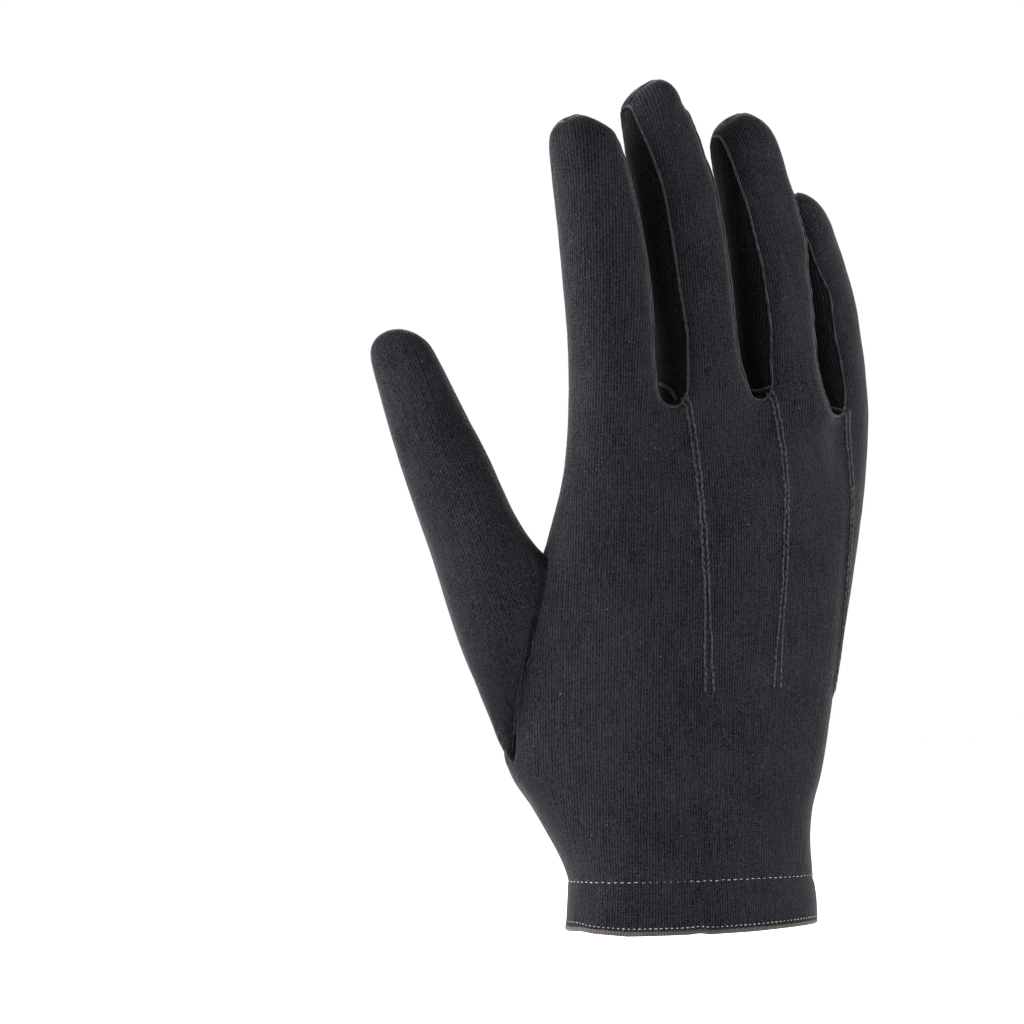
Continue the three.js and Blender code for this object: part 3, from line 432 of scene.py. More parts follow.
# With a factor below one the tones and the sheen are scaled down, for a copy of the knit that paints shade.
def knitFinish(name, paintedShadeScale=1.0):
    make = Finish(name)
    look = knitLook
    x, y = make.clothXY()
    drift = make.math("MULTIPLY", make.noise(*look["drift"], onMap=True), look["wobble"])
    wale = make.math("SINE", make.math("MULTIPLY", make.math("ADD", x, drift), 2 * math.pi / look["wale"]))
    legs = make.math("MULTIPLY", make.math("ABSOLUTE", wale), look["legs"])
    rise = make.math("MULTIPLY", y, 2 * math.pi / look["course"])
    layers = {
        "wale": wale,
        "course": make.math("SINE", make.math("ADD", rise, legs)),
        "streak": make.noise(*look["streak"], onMap=True),
        "cloud": make.noise(*look["cloud"]),
        "fuzz": make.noise(*look["fuzz"]),
    }
    speck = make.noise(*look["speck"])
    deep, pale = [tuple(paintedShadeScale * value for value in look[tone]) for tone in ("deep", "pale")]
    colour = make.tones(make.total(layers, look["shade"]), deep, pale)
    spots = make.math("SUBTRACT", speck, look["speckAbove"])
    spots = make.math("MULTIPLY", spots, look["speckEdge"], clamp=True)
    colour = make.mixColour(spots, colour, look["speckColour"])
    make.bump(make.total(layers, look["bump"]), look)
    return make.finish(colour, Roughness=0.95, Specular_IOR_Level=0.02, Sheen_Weight=look["sheen"] * paintedShadeScale,
                       Sheen_Roughness=0.23, Sheen_Tint=(0.95, 0.9, 0.9, 1))


def edgingFinish(name, pitch, pale, deep):
    make = Finish(name)
    x = make.clothXY()[0]
    layers = {
        "rib": make.math("SINE", make.math("MULTIPLY", x, 2 * math.pi / pitch)),
        "fuzz": make.noise(*edgingLook["fuzz"]),
        "cloud": make.noise(*edgingLook["cloud"]),
    }
    make.bump(make.total(layers, edgingLook["bump"]), edgingLook)
    return make.finish(make.tones(make.total(layers, edgingLook["shade"]), deep, pale), Roughness=0.92,
                       Specular_IOR_Level=0.08, Sheen_Weight=0.12, Sheen_Roughness=0.35,
                       Sheen_Tint=(0.95, 0.9, 0.88, 1))


def threadFinish(name, pale, deep, shine):
    make = Finish(name)
    twist = make.noise(*threadLook["twist"])
    make.bump(twist, threadLook)
    return make.finish(make.tones(twist, deep, pale), Roughness=0.7, Specular_IOR_Level=shine,
                       Sheen_Weight=threadLook["sheen"] * shine)


def hardFinish(name, colour, roughness, metallic, shine, coat):
    make = Finish(name)
    scuff = make.noise(*hardLook["scuff"])
    make.bump(scuff, hardLook)
    dark = tuple(hardLook["dark"] * c for c in colour)
    return make.finish(make.tones(scuff, dark, colour), Roughness=roughness, Metallic=metallic,
                       Specular_IOR_Level=shine, Coat_Weight=coat, Coat_Roughness=0.06)


knit = knitFinish("blackKnit")
# A darker copy of the knit is painted shade: it goes on the fourchettes in the finger gaps, the hem band, the
# fingertip notch and under the raised rows.
shadedKnit = knitFinish("shadedKnit", 0.4)
# The edging knit is lighter than the cloth: on the seam ridges, crotch tucks and raised rows this paints the
# highlight along their crests; the vent binding and the palm and index seams share it.
highlightEdging = edgingFinish("highlightKnitEdging", 0.8 * mm, (0.0165, 0.016, 0.018), (0.0015, 0.0015, 0.002))
strip = edgingFinish("hemStrip", 0.82 * mm, (0.04, 0.0335, 0.0285), (0.007, 0.006, 0.0055))
thread = threadFinish("greyThread", (0.13, 0.13, 0.135), (0.035, 0.035, 0.037), 0.5)
blackThread = threadFinish("blackThread", (0.019, 0.0205, 0.0235), (0.006, 0.0065, 0.0075), 0.15)
enamel = hardFinish("blackEnamel", (0.008, 0.008, 0.009), 0.22, 0.0, 0.12, 0.15)
steel = hardFinish("brightSteel", (0.55, 0.55, 0.56), 0.3, 1.0, 0.5, 0.0)
print("finishes made")

# The cloth is unwrapped, rounded and given its seams and folds
whole = addPiece("clothWhole", cloth)
for index in range(len(panels["names"])):
    whole.data.materials.append(shadedKnit if index in fourchettes else knit)
thumbCut = {"yaw": math.radians(35), "root": (-0.052, 0.006, 0.085)}


# The thumb is slit for unwrapping along its side to the hand
def markCuts(bm):
    out = Vector((-math.cos(thumbCut["yaw"]), math.sin(thumbCut["yaw"]), 0))
    root = Vector(thumbCut["root"])
    middles = (face.calc_center_median() for face in bm.faces if face.material_index == thumbPanel)
    axis = (max(middles, key=lambda place: place.z) - root).normalized()
    inner = -(out - axis * out.dot(axis)).normalized()
    side = axis.cross(inner)
    for e in bm.edges:
        kinds = {face.material_index for face in e.link_faces}
        e.seam = len(kinds) > 1
        if kinds == {thumbPanel} and len(e.link_faces) == 2:
            sides = [side.dot(face.calc_center_median() - root) > 0 for face in e.link_faces]
            middle = (e.verts[0].co + e.verts[1].co) / 2 - root
            if sides[0] != sides[1] and inner.dot(middle) > 0:
                e.seam = True


# The thumb's wales run along it: the way round from its front or back line, and the height along it
def mapThumb(mesh, uvs, places):
    faces = [face for face in mesh.polygons if face.material_index == thumbPanel]
    tip = places[max((v for face in faces for v in face.vertices), key=lambda v: places[v][2])]
    root = np.array(thumbCut["root"])
    axis = (tip - root) / np.linalg.norm(tip - root)
    front = -np.array(forward)
    front = front - axis * (front @ axis)
    front /= np.linalg.norm(front)
    side = np.cross(front, axis)
    for face in faces:
        facing = 1 if (places[list(face.vertices)].mean(0) - root) @ front > 0 else -1
        for corner, v in zip(face.loop_indices, face.vertices):
            away = places[v] - root
            x, y = away @ side, away @ front * facing
            uvs[corner] = (math.hypot(x, y) * math.atan2(x, y) * facing, away @ axis)


# A panel's map is turned until its wales stand up, and scaled to real size
def panelTurn(index, flat, solid):
    spread = flat - flat.mean(0)
    if index in fourchettes:
        slope = np.linalg.svd(spread, full_matrices=False)[2][0]
    else:
        tall = solid[:, 2]
        slope = np.linalg.lstsq(spread, tall - tall.mean(), rcond=None)[0]
    return math.atan2(slope[0], slope[1])


def panelScale(faces, uvs):
    flatArea = 0.0
    for face in faces:
        x, y = uvs[list(face.loop_indices)].T
        flatArea += abs(np.dot(x, np.roll(y, -1)) - np.dot(y, np.roll(x, -1))) / 2
    return math.sqrt(sum(face.area for face in faces) / max(flatArea, 1e-12))


def unwrapCloth(piece):
    bm = bmesh.new()
    bm.from_mesh(piece.data)
    markCuts(bm)
    bm.to_mesh(piece.data)
    bm.free()
    bpy.context.view_layer.objects.active = piece
    piece.select_set(True)
    piece.data.uv_layers.new(name="cloth")
    bpy.ops.object.mode_set(mode="EDIT")
    bpy.ops.mesh.select_all(action="SELECT")
    bpy.ops.uv.unwrap(method="ANGLE_BASED", margin=0.001)
    bpy.ops.object.mode_set(mode="OBJECT")
    piece.select_set(False)
    mesh = piece.data
    uvs = readValues(mesh.uv_layers["cloth"].data, "uv", 2)
    places = np.array([v.co for v in mesh.vertices])
    solid = places[cornerVertices(mesh)]
    owner = np.array([face.material_index for face in mesh.polygons for _ in face.loop_indices])
    for index in range(len(panels["names"])):
        mine = owner == index
        turn = panelTurn(index, uvs[mine], solid[mine])
        scale = panelScale([face for face in mesh.polygons if face.material_index == index], uvs)
        c, n = math.cos(turn), math.sin(turn)
        uvs[mine] = (uvs[mine] @ np.array([[c, n], [-n, c]])) * scale
    mapThumb(mesh, uvs, places)
    mesh.uv_layers["cloth"].data.foreach_set("uv", uvs.ravel())


def settled(piece, name):
    bpy.context.view_layer.update()
    mesh = bpy.data.meshes.new_from_object(piece.evaluated_get(bpy.context.evaluated_depsgraph_get()))
    mesh.name = name
    bpy.data.objects.remove(piece)
    return mesh


def roundOff(piece, levels):
    rounding = piece.modifiers.new("rounding", "SUBSURF")
    rounding.levels = rounding.render_levels = levels
    return rounding


unwrapCloth(whole)
roundOff(whole, panels["rounding"]).uv_smooth = "PRESERVE_BOUNDARIES"
smooth = settled(whole, "clothSmooth")
print("cloth rounded", len(smooth.vertices), len(smooth.polygons))

# Seams: where two panels meet. The fold at the thumb's side of the trank is none.
seams = {
    "fourchette": {"depth": 0.35 * mm, "reach": 1.3 * mm},
    "thumb": {"depth": 0.65 * mm, "reach": 0.75 * mm,
              "lip": 0.35 * mm, "lipReach": 2.2 * mm, "lipWidth": 1.5 * mm},
    "side": {"depth": 0.4 * mm, "reach": 1.4 * mm},
}
fingerBase = 149
sideSeam = {"low": 66 * mm, "littleFrom": 38 * mm, "middleFrom": 5 * mm,
            "middleTip": 199 * mm, "anyTip": 228 * mm}


def seamKind(kinds, place):
    if thumbPanel in kinds:
        return "thumb"
    if kinds != {backPanel, palmPanel}:
        return "fourchette"
    if place.z > fingerBase * mm:
        onMiddle = place.x > sideSeam["middleFrom"] and place.z > sideSeam["middleTip"]
        onTip = place.z > sideSeam["anyTip"] or onMiddle
        return "side" if onTip or place.x > sideSeam["littleFrom"] else None
    return "side" if place.x > 0 and place.z > sideSeam["low"] else None


def findSeams(mesh):
    bm = bmesh.new()
    bm.from_mesh(mesh)
    lines = {kind: [] for kind in seams}
    for e in bm.edges:
        kinds = {face.material_index for face in e.link_faces}
        kind = seamKind(kinds, (e.verts[0].co + e.verts[1].co) / 2) if len(kinds) > 1 else None
        if kind:
            lines[kind].append((e.verts[0].index, e.verts[1].index))
    spots = [v.co.copy() for v in bm.verts]
    normals = [v.normal.copy() for v in bm.verts]
    bm.free()
    return lines, spots, normals


# Edges joined end to end into lines of vertex numbers
def chains(edges):
    near = {}
    for a, b in edges:
        near.setdefault(a, []).append(b)
        near.setdefault(b, []).append(a)
    used = set()
    result = []
    starts = [v for v in near if len(near[v]) != 2] + list(near)
    for start in starts:
        for first in near[start]:
            if frozenset((start, first)) in used:
                continue
            line = [start, first]
            used.add(frozenset((start, first)))
            while len(near[line[-1]]) == 2:
                ahead = [v for v in near[line[-1]] if frozenset((line[-1], v)) not in used]
                if not ahead:
                    break
                used.add(frozenset((line[-1], ahead[0])))
                line.append(ahead[0])
            result.append(line)
    return result


# Small shifts of the fingers and crotches in the camera's view: where, how far and over what reach,
# each across and up, in mm
shifts = {
    "index": [(-32.3, 230.9, 0, -0.5, 5, 5), (-21.3, 225.1, 0.8, 0.6, 4, 4), (-17.8, 213.8, 1.0, 0, 7, 8),
              (-15.3, 199, 1.6, 0, 7, 9), (-13.2, 184.2, 1.8, 0, 7, 9), (-11.6, 172.2, 1.6, 0, 7, 8),
              (-10.5, 159.5, 0.8, 0, 6, 6)],
    "middle": [(-7.2, 238.9, 0.3, 1.4, 6, 5), (-17.9, 230.1, -2.0, 0, 6, 7), (-16.4, 216, -1.9, 0, 6, 9),
               (-15, 203, -1.9, 0, 6, 9), (-13, 190, -1.5, 0, 6, 9), (-11.4, 177, -0.9, 0, 6, 8),
               (2.0, 231.5, -2.2, -0.3, 6, 6), (3.7, 226.6, -1.8, 0, 6, 6), (5.4, 220.9, -1.2, 0, 6, 8),
               (-1.9, 166.5, 0.8, 0, 5, 8)],
    "ring": [(17.5, 229.7, 0, 1.2, 6, 5), (21.4, 226.6, 0.3, 0.8, 4, 4), (25.6, 218.1, -0.8, 0, 6, 7),
             (28.1, 211, -0.7, 0, 6, 7), (6.4, 220.9, -0.8, 0, 5, 7), (21.5, 185, 1.3, 0, 6, 9),
             (22.3, 170, 1.8, 0, 6, 9)],
    "little": [(32.7, 205.7, 0, 2.0, 5, 5), (35.2, 204, 0.3, 2.0, 4, 4), (37.6, 201.1, 0.3, 0.8, 4, 4),
               (35.0, 196, 2.2, 0, 4, 6), (39.5, 182, 1.6, 0, 4, 7), (41.5, 192, 0.6, 0, 5, 7),
               (45.7, 177, 0.7, 0, 7, 9), (44, 159.5, 1.2, 0, 5, 7)],
    "crotches": [(-6.6, 151.9, 1.0, -2.6, 7, 6), (16.4, 154.7, 2.2, -2.6, 7, 6),
                 (38.4, 149.4, 2.4, -2.0, 7, 6)],
}

# A finger's shifts reach only that finger: its root across the hand, its lean and its length, in mm
fingerLines = {"index": (-30.4, -4.5, 82), "middle": (-2.6, -6, 91), "ring": (21.6, -3.5, 82.4),
               "little": (45, -8.5, 59)}
fingerReach = 7

# The hem's lower edge: its heights across the camera's view, how far the cloth reaches over the strip,
# how far up and round the bend fades, and its flare
hemEdge = {"top": 15 * mm, "drop": 1.3 * mm, "foot": -0.5 * mm, "sink": 0.7, "front": 6 * mm,
           "flare": 0.5 * mm, "flareReach": 2.5 * mm, "flareFoot": -1 * mm,
           "places": (-36, -33, -28, -18, -1, 2, 5, 17, 36),
           "heights": (2.5, 1.3, 0.4, -0.3, 0.15, 0.55, 0.2, 0.7, 2.1)}

# The under flap's end, and the share of its drop by which it is drawn up behind the hem
flapEnd = {"middle": -9.5 * mm, "half": 8.5 * mm, "edge": 3 * mm, "behind": 15 * mm, "draw": 0.93}


def shifted(places):
    seen = places @ np.array(across) / mm
    z = places[:, 2] / mm
    shares = {}
    for name, (start, lean, length) in fingerLines.items():
        middle = start + lean * np.clip((z - fingerBase) / length, 0, 1)
        shares[name] = np.exp(-((places[:, 0] / mm - middle) / fingerReach) ** 2) + 1e-9
    total = sum(shares.values())
    result = places.copy()
    for name, rows in shifts.items():
        moved = np.zeros((len(places), 2))
        weight = np.zeros(len(places))
        for x, up, dx, dz, reachX, reachZ in rows:
            near = np.exp(-((seen - x) / reachX) ** 2 - ((z - up) / reachZ) ** 2)
            moved += near[:, None] * np.array((dx, dz))
            weight += near
        moved *= mm / np.maximum(weight, 1)[:, None]
        if name in shares:
            moved *= (shares[name] / total)[:, None]
        result += moved[:, :1] * np.array(across) + moved[:, 1:] * np.array((0, 0, 1))
    return result


def hemShifted(places, drop):
    seen = places @ np.array(across) / mm
    z = places[:, 2]
    high = np.clip(1 - z / hemEdge["top"], 0, 1)
    bend = np.interp(seen, hemEdge["places"], hemEdge["heights"]) * mm - hemEdge["sink"] * mm
    result = places.copy()
    result[:, 2] += bend * (high * np.clip(-places[:, 1] / hemEdge["front"], 0, 1)) - drop * (
        high * (z > hemEdge["foot"]))
    return result


def drawnUp(places):
    x, y, z = places.T
    beside = (flapEnd["half"] - abs(x - flapEnd["middle"])) / flapEnd["edge"]
    inEnd = np.clip(beside, 0, 1) * (y > flapEnd["behind"])
    result = places.copy()
    result[:, 2] = np.where(z < 0, z * (1 - flapEnd["draw"] * inEnd), z)
    return result


def moveVertices(mesh, places):
    mesh.vertices.foreach_set("co", np.array(places).ravel())
    mesh.update()


moveVertices(smooth, hemShifted(shifted(readValues(smooth.vertices, "co", 3)), hemEdge["drop"]))
lines, spots, normals = findSeams(smooth)
seamChains = {kind: chains(edges) for kind, edges in lines.items()}
print("seams", {kind: [len(line) for line in found] for kind, found in seamChains.items()})


# Seam lines are evened out on the cloth before anything is measured from them
def evenSeams():
    tree = surfaceOf(spots, smooth)
    for found in seamChains.values():
        for line in found:
            for v, place in zip(line[1:-1], smoothLine([spots[v] for v in line], rounds=5)[1:-1]):
                spots[v] = tree.find_nearest(place)[0]
    moveVertices(smooth, spots)


evenSeams()
clothTree = surfaceOf(spots, smooth)

# Lines on the cloth, in mm: across and up as the camera sees them, or in from the palm's edge and up
points = {
    "point_index_middle": [(-2.1, 150.2), (-0.7, 145.4), (1.0, 135.5), (1.8, 124.2), (3.0, 112.9),
                           (3.8, 101.6), (4.1, 90.4), (4.4, 79.1), (4.7, 67.8)],
    "point_middle_ring": [(21.9, 151.9), (23.9, 146.8), (25.6, 138.4), (26.4, 127.1), (26.4, 115.8),
                          (26.1, 104.5), (25.6, 93.2), (24.4, 81.9), (23.9, 68.3)],
    "point_ring_little": [(44.5, 146.8), (45.3, 138.4), (45.6, 127.1), (45.3, 115.8), (44.8, 104.5),
                          (43.9, 93.2), (42.4, 79.1), (40.6, 67.2)],
}
palmSeamPlaces = [(1, 66), (4, 60), (8, 48), (12.7, 31), (20.5, 17), (21.7, 4)]
tipTuckPlaces = [(-14.6, 238.6), (-16.6, 235.2), (-18.4, 231.5), (-19.2, 228)]
crotchTucks = [[(-9.6, 154.3), (-8.3, 153.9), (-7.1, 153.3), (-5.8, 152.2), (-4.9, 150.7), (-4.3, 149.2)],
               [(14.8, 153.5), (15.4, 153.2), (17.2, 152.2), (19.1, 151.9), (21.0, 152.6), (22.4, 153.3)],
               [(36.0, 149.1), (36.8, 148.7), (39.4, 147.7), (41.8, 147.0), (44.0, 146.5)]]
lineLook = {"rayFrom": 0.3, "coarse": 3 * mm, "fine": 1 * mm, "palmSlice": 1.5 * mm}


# A ray onto the cloth from the camera's side, or from the palm's with way -1
def castAt(beside, z, way=1):
    start = beside + Vector((0, 0, z * mm)) - forward * lineLook["rayFrom"] * way
    return clothTree.ray_cast(start, forward * way)


def seenAt(x, z):
    return castAt(across * x * mm, z)[0]


def onPalm(inward, z):
    edge = max(place.dot(across) for place in spots if abs(place.z - z * mm) < lineLook["palmSlice"])
    return castAt(across * (edge - inward * mm), z, -1)[0]


def easedPath(places, rounds):
    found = [spot for spot in places if spot]
    return resample(smoothLine(resample(found, lineLook["coarse"]), rounds), lineLook["fine"])


pointPaths = {node: easedPath([seenAt(x, z) for x, z in places], rounds=9) for node, places in points.items()}
palmSeam = easedPath([onPalm(x, z) for x, z in palmSeamPlaces], rounds=4)
tipTuck = easedPath([seenAt(x, z) for x, z in tipTuckPlaces], rounds=1)
print("lines", {name: len(path) for name, path in pointPaths.items()}, len(palmSeam))

# Relief of the cloth, as moves along its normals
relief = {
    "beat": 0.18, "beatPitch": 3.4 * mm, "beatTurn": 3, "beatReach": 9 * mm,
    "tuck": 0.35 * mm, "tuckReach": 1.3 * mm,
    "tuckSide": 0.2 * mm, "tuckSideAt": 2.6 * mm, "tuckSideReach": 1.2 * mm,
    "tip": 0.5 * mm, "tipReach": 0.9 * mm,
    "broad": 0.35 * mm, "broadScale": Vector((70, 70, 22)),
    "fine": 0.07 * mm, "fineScale": Vector((330, 330, 190)),
    "hemLine": 15 * mm, "hemWave": 0.9 * mm, "hemWaveReach": 24 * mm,
    "hemDip": 0.3 * mm, "hemDipReach": 0.9 * mm, "hemBulge": 0.35 * mm, "hemBulgeReach": 12 * mm,
}


def seamMove(places, owner):
    move = np.zeros(len(places))
    for kind, look in seams.items():
        away = distanceTo([(spots[a] + spots[b]) / 2 for a, b in lines[kind]], spots)
        beat = 1 + relief["beat"] * np.sin(places[:, 2] / relief["beatPitch"] * 2 * math.pi
                                           + relief["beatTurn"] * places[:, 0] / relief["beatReach"])
        move -= look["depth"] * beat * np.exp(-(away / look["reach"]) ** 2)
        if "lip" in look:
            lip = look["lip"] * np.exp(-((away - look["lipReach"]) / look["lipWidth"]) ** 2)
            move += np.where(owner == thumbPanel, 0, lip)
    return move


def lineMove():
    away = distanceTo([place for path in pointPaths.values() for place in path], spots)
    move = relief["tuck"] * np.exp(-(away / relief["tuckReach"]) ** 2)
    move -= relief["tuckSide"] * np.exp(-((away - relief["tuckSideAt"]) / relief["tuckSideReach"]) ** 2)
    move -= seams["side"]["depth"] * np.exp(-(distanceTo(palmSeam, spots) / seams["side"]["reach"]) ** 2)
    return move - relief["tip"] * np.exp(-(distanceTo(tipTuck, spots) / relief["tipReach"]) ** 2)


def hemMove(places):
    z = places[:, 2]
    flare = np.exp(-np.clip(z - hemEdge["foot"], 0, 1) / hemEdge["flareReach"])
    line = relief["hemLine"] - relief["hemWave"] * np.cos(places[:, 0] / relief["hemWaveReach"])
    below = np.clip((line - z) / relief["hemBulgeReach"], 0, 1)
    move = hemEdge["flare"] * flare * (z > hemEdge["flareFoot"])
    move -= relief["hemDip"] * np.exp(-((z - line) / relief["hemDipReach"]) ** 2)
    return move + relief["hemBulge"] * np.where(z < line, np.sin(below * math.pi), 0)


def ripple(place):
    broad = noise.noise(place * relief["broadScale"])
    return relief["broad"] * broad + relief["fine"] * noise.noise(place * relief["fineScale"])


def shapeRelief(owner):
    places = np.array(spots)
    ripples = np.array([ripple(place) for place in spots])
    move = seamMove(places, owner) + lineMove() + hemMove(places) + ripples
    moved = drawnUp(places + np.array(normals) * move[:, None])
    moveVertices(smooth, moved)
    kept = smooth.attributes.new("clothNormal", "FLOAT_VECTOR", "POINT")
    kept.data.foreach_set("vector", readValues(smooth.vertex_normals, "vector", 3).ravel())
    return moved


# Each vertex belongs to a panel, and at a seam to the one that is set in
unowned = 9
owners = [unowned] * len(spots)
for face in smooth.polygons:
    for v in face.vertices:
        owners[v] = face.material_index if owners[v] in (unowned, backPanel, palmPanel) else owners[v]
clothTree = surfaceOf(shapeRelief(np.array(owners)), smooth)
print("relief done")


def addSettled(piece, name):
    return addMesh(name, settled(piece, name))


def dress(piece, slot, *replaced):
    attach(piece, "root")
    if replaced:
        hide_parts(*replaced)


# Each panel keeps the whole cloth's normals, so that no line shows where two panels meet in a fold
def keepNormals(mesh):
    same = panels["sameWay"]
    kept = readValues(mesh.attributes["clothNormal"].data, "vector", 3)[cornerVertices(mesh)]
    corners = [face.loop_total for face in mesh.polygons]
    own = np.repeat(readValues(mesh.polygon_normals, "vector", 3), corners, axis=0)
    side = (kept * own).sum(1)[:, None]
    result = np.where(side > same, kept, np.where(side < -same, -kept, own))
    mesh.normals_split_custom_set(result.tolist())
    mesh.attributes.remove(mesh.attributes["clothNormal"])


def splitPanel(index, name):
    bm = bmesh.new()
    bm.from_mesh(smooth)
    bmesh.ops.delete(bm, geom=[face for face in bm.faces if face.material_index != index], context="FACES")
    for face in bm.faces:
        face.material_index = 0
    # Fourchettes take the darker knit copy, painted shade in the finger gaps.
    material, slot = (shadedKnit, "side_knit") if index in fourchettes else (knit, "knit")
    rough = addPiece(name + "Rough", bm, material)
    wall = rough.modifiers.new("wall", "SOLIDIFY")
    wall.thickness = panels["wall"]
    wall.offset = -1
    wall.use_even_offset = False
    piece = addSettled(rough, name)
    keepNormals(piece.data)
    dress(piece, slot, panels["nodes"][index])
    print(name, len(piece.data.polygons))


for index, name in enumerate(panels["names"]):
    splitPanel(index, name)


# Beads, stitches and copies of CAD trims
trims = {"wrist": 33 * mm, "beadSides": 3, "flat": math.radians(50), "square": math.radians(60)}


def onCloth(place, lift=0.0):
    spot, normal = clothTree.find_nearest(place)[:2]
    return spot + normal * lift, normal


def laidOn(path, lift=0.0):
    return [onCloth(place, lift)[0] for place in path]


# A bead along open or closed lines, each a path and whether it closes
def beadPiece(name, paths, radius, material, *replaced):
    curve = bpy.data.curves.new(name, "CURVE")
    curve.dimensions = "3D"
    curve.bevel_depth = radius
    curve.bevel_resolution = trims["beadSides"]
    curve.use_fill_caps = True
    for path, closed in paths:
        spline = curve.splines.new("POLY")
        spline.points.add(len(path) - 1)
        for point, place in zip(spline.points, path):
            point.co = (*place, 1)
        spline.use_cyclic_u = closed
    line = bpy.data.objects.new(name + "Line", curve)
    bpy.context.scene.collection.objects.link(line)
    piece = addSettled(line, name)
    bpy.data.curves.remove(curve)
    piece.data.materials.clear()
    piece.data.materials.append(material)
    alongUv(piece)
    dress(piece, "binding", *replaced)


# The cloth map of trims: the way round the wrist and the height
def alongUv(piece):
    mesh = piece.data
    while mesh.uv_layers:
        mesh.uv_layers.remove(mesh.uv_layers[0])
    layer = mesh.uv_layers.new(name="cloth")
    for corner in mesh.loops:
        place = mesh.vertices[corner.vertex_index].co
        layer.data[corner.index].uv = (math.atan2(place.x, -place.y) * trims["wrist"], place.z)


# Seam ridges are beads that swell a little along the seam, in the lighter edging knit that paints a highlight
# on them
ridges = {"fourchette": {"radius": 0.34 * mm, "lift": 0.1 * mm},
          "side": {"radius": 0.26 * mm, "lift": 0.02 * mm}}
ridgeSway = {"by": 0.06 * mm, "reach": 1.3 * mm, "fewest": 5}


def seamPaths(kind):
    paths = []
    for line in seamChains[kind]:
        if len(line) < ridgeSway["fewest"]:
            continue
        places = smoothLine([spots[v] for v in line])
        closed = line[0] == line[-1]
        path = []
        for place in places[:-1] if closed else places:
            spot, normal = onCloth(place)
            sway = ridgeSway["by"] * math.sin(place.z / ridgeSway["reach"])
            path.append(spot + normal * (ridges[kind]["lift"] + sway))
        paths.append((path, closed))
    return paths


# Short stitches along rows on the cloth, each a small rounded dash that sways and varies in size
stitchDrift = {"turn": 2.4, "size": 0.3, "step": 0.83, "seed": 9000, "faint": 0.5}


def stitchPiece(name, rows, look, material):
    bm = bmesh.new()
    faint = look.get("faint")
    for row in rows:
        places = resample(row, look["pitch"])
        for index, (a, b) in enumerate(zip(places, places[1:])):
            sway = math.sin(index * stitchDrift["turn"]) * look.get("sway", 0)
            seed = Vector((index * stitchDrift["step"], look["pitch"] * stitchDrift["seed"], 0))
            size = 1 + stitchDrift["size"] * noise.noise(seed)
            if faint and faint[0] < a.dot(across) < faint[1] and a.y < 0:
                size *= stitchDrift["faint"]
            middle, normal = onCloth((a + b) / 2)
            side = normal.cross((b - a).normalized()).normalized()
            along = side.cross(normal).normalized()
            for v in bmesh.ops.create_icosphere(bm, subdivisions=1, radius=0.5)["verts"]:
                x, y, up = v.co
                ahead = x * look["long"] * size + y * look.get("lean", 0)
                beside = y * look["wide"] * size + sway
                v.co = middle + along * ahead + side * beside + normal * (up * look["high"] + look["lift"])
    dress(addPiece(name, bm, material), "binding")


# A rounded copy of a CAD trim, swollen or thinned, that follows the cloth's moves at the hem
def softCopy(name, node, material, slot, levels, swell):
    bm = bmesh.new()
    bm.from_mesh(nodes[node].data)
    bmesh.ops.remove_doubles(bm, verts=bm.verts, dist=panels["sameSpot"])
    bmesh.ops.join_triangles(bm, faces=bm.faces, angle_face_threshold=trims["flat"],
                             angle_shape_threshold=trims["square"])
    bm.normal_update()
    for v in bm.verts:
        v.co += v.normal * swell
    rough = addPiece(name + "Rough", bm, material)
    roundOff(rough, levels)
    piece = addSettled(rough, name)
    places = drawnUp(np.array([v.co for v in piece.data.vertices]))
    if node != "vent_binding":
        places = hemShifted(places, 0)
    piece.data.vertices.foreach_set("co", places.ravel())
    alongUv(piece)
    dress(piece, slot, node)


# The hem band takes the darker knit copy, painted shade.
softCopy("hemBand", "hem_band", shadedKnit, "side_knit", levels=1, swell=0.1 * mm)
softCopy("hemStrip", "hem_binding", strip, "binding", levels=2, swell=-0.3 * mm)
softCopy("ventBinding", "vent_binding", highlightEdging, "binding", levels=2, swell=0.25 * mm)
for kind, look in ridges.items():
    beadPiece(kind + "Ridge", seamPaths(kind), look["radius"], highlightEdging)

# The index finger's edge is sewn twice
edgeSeam = {"across": -8 * mm, "x": -18 * mm, "y": -1 * mm, "top": 222 * mm, "inward": 1.5 * mm,
            "radius": 0.17 * mm, "lift": 0.02 * mm}
edgeLine = []
for v in (v for line in seamChains["fourchette"] for v in line if owners[v] == indexFourchette):
    place = spots[v]
    low = place.z < edgeSeam["top"] and place.y < edgeSeam["y"] and place.x < edgeSeam["x"]
    if low and place.dot(across) < edgeSeam["across"]:
        edgeLine.append(place)
edgeLine = smoothLine(sorted(edgeLine, key=lambda place: place.z), rounds=4)
edgeLine = laidOn([place - across * edgeSeam["inward"] for place in edgeLine], edgeSeam["lift"])
beadPiece("indexEdgeSeam", [(edgeLine, False)], edgeSeam["radius"], highlightEdging)

# Each crotch has a small folded tuck on its fourchette, a bead of the lighter edging knit that paints a
# highlight on it
tuckLook = {"pitch": 0.4, "jump": 1.6 * mm, "fewest": 5, "lift": 0.15 * mm, "radius": 0.46 * mm,
            "tipLift": -0.05 * mm, "tipRadius": 0.22 * mm}


def tuckPaths(places):
    runs = [[]]
    for x, _, z in resample([Vector((x, 0, z)) for x, z in places], tuckLook["pitch"]):
        spot, _, face, _ = castAt(across * x * mm, z)
        if smooth.polygons[face].material_index not in fourchettes:
            continue
        if runs[-1] and (spot - runs[-1][-1]).length > tuckLook["jump"]:
            runs.append([])
        runs[-1].append(onCloth(spot, tuckLook["lift"])[0])
    return [(smoothLine(run, rounds=1), False) for run in runs if len(run) >= tuckLook["fewest"]]


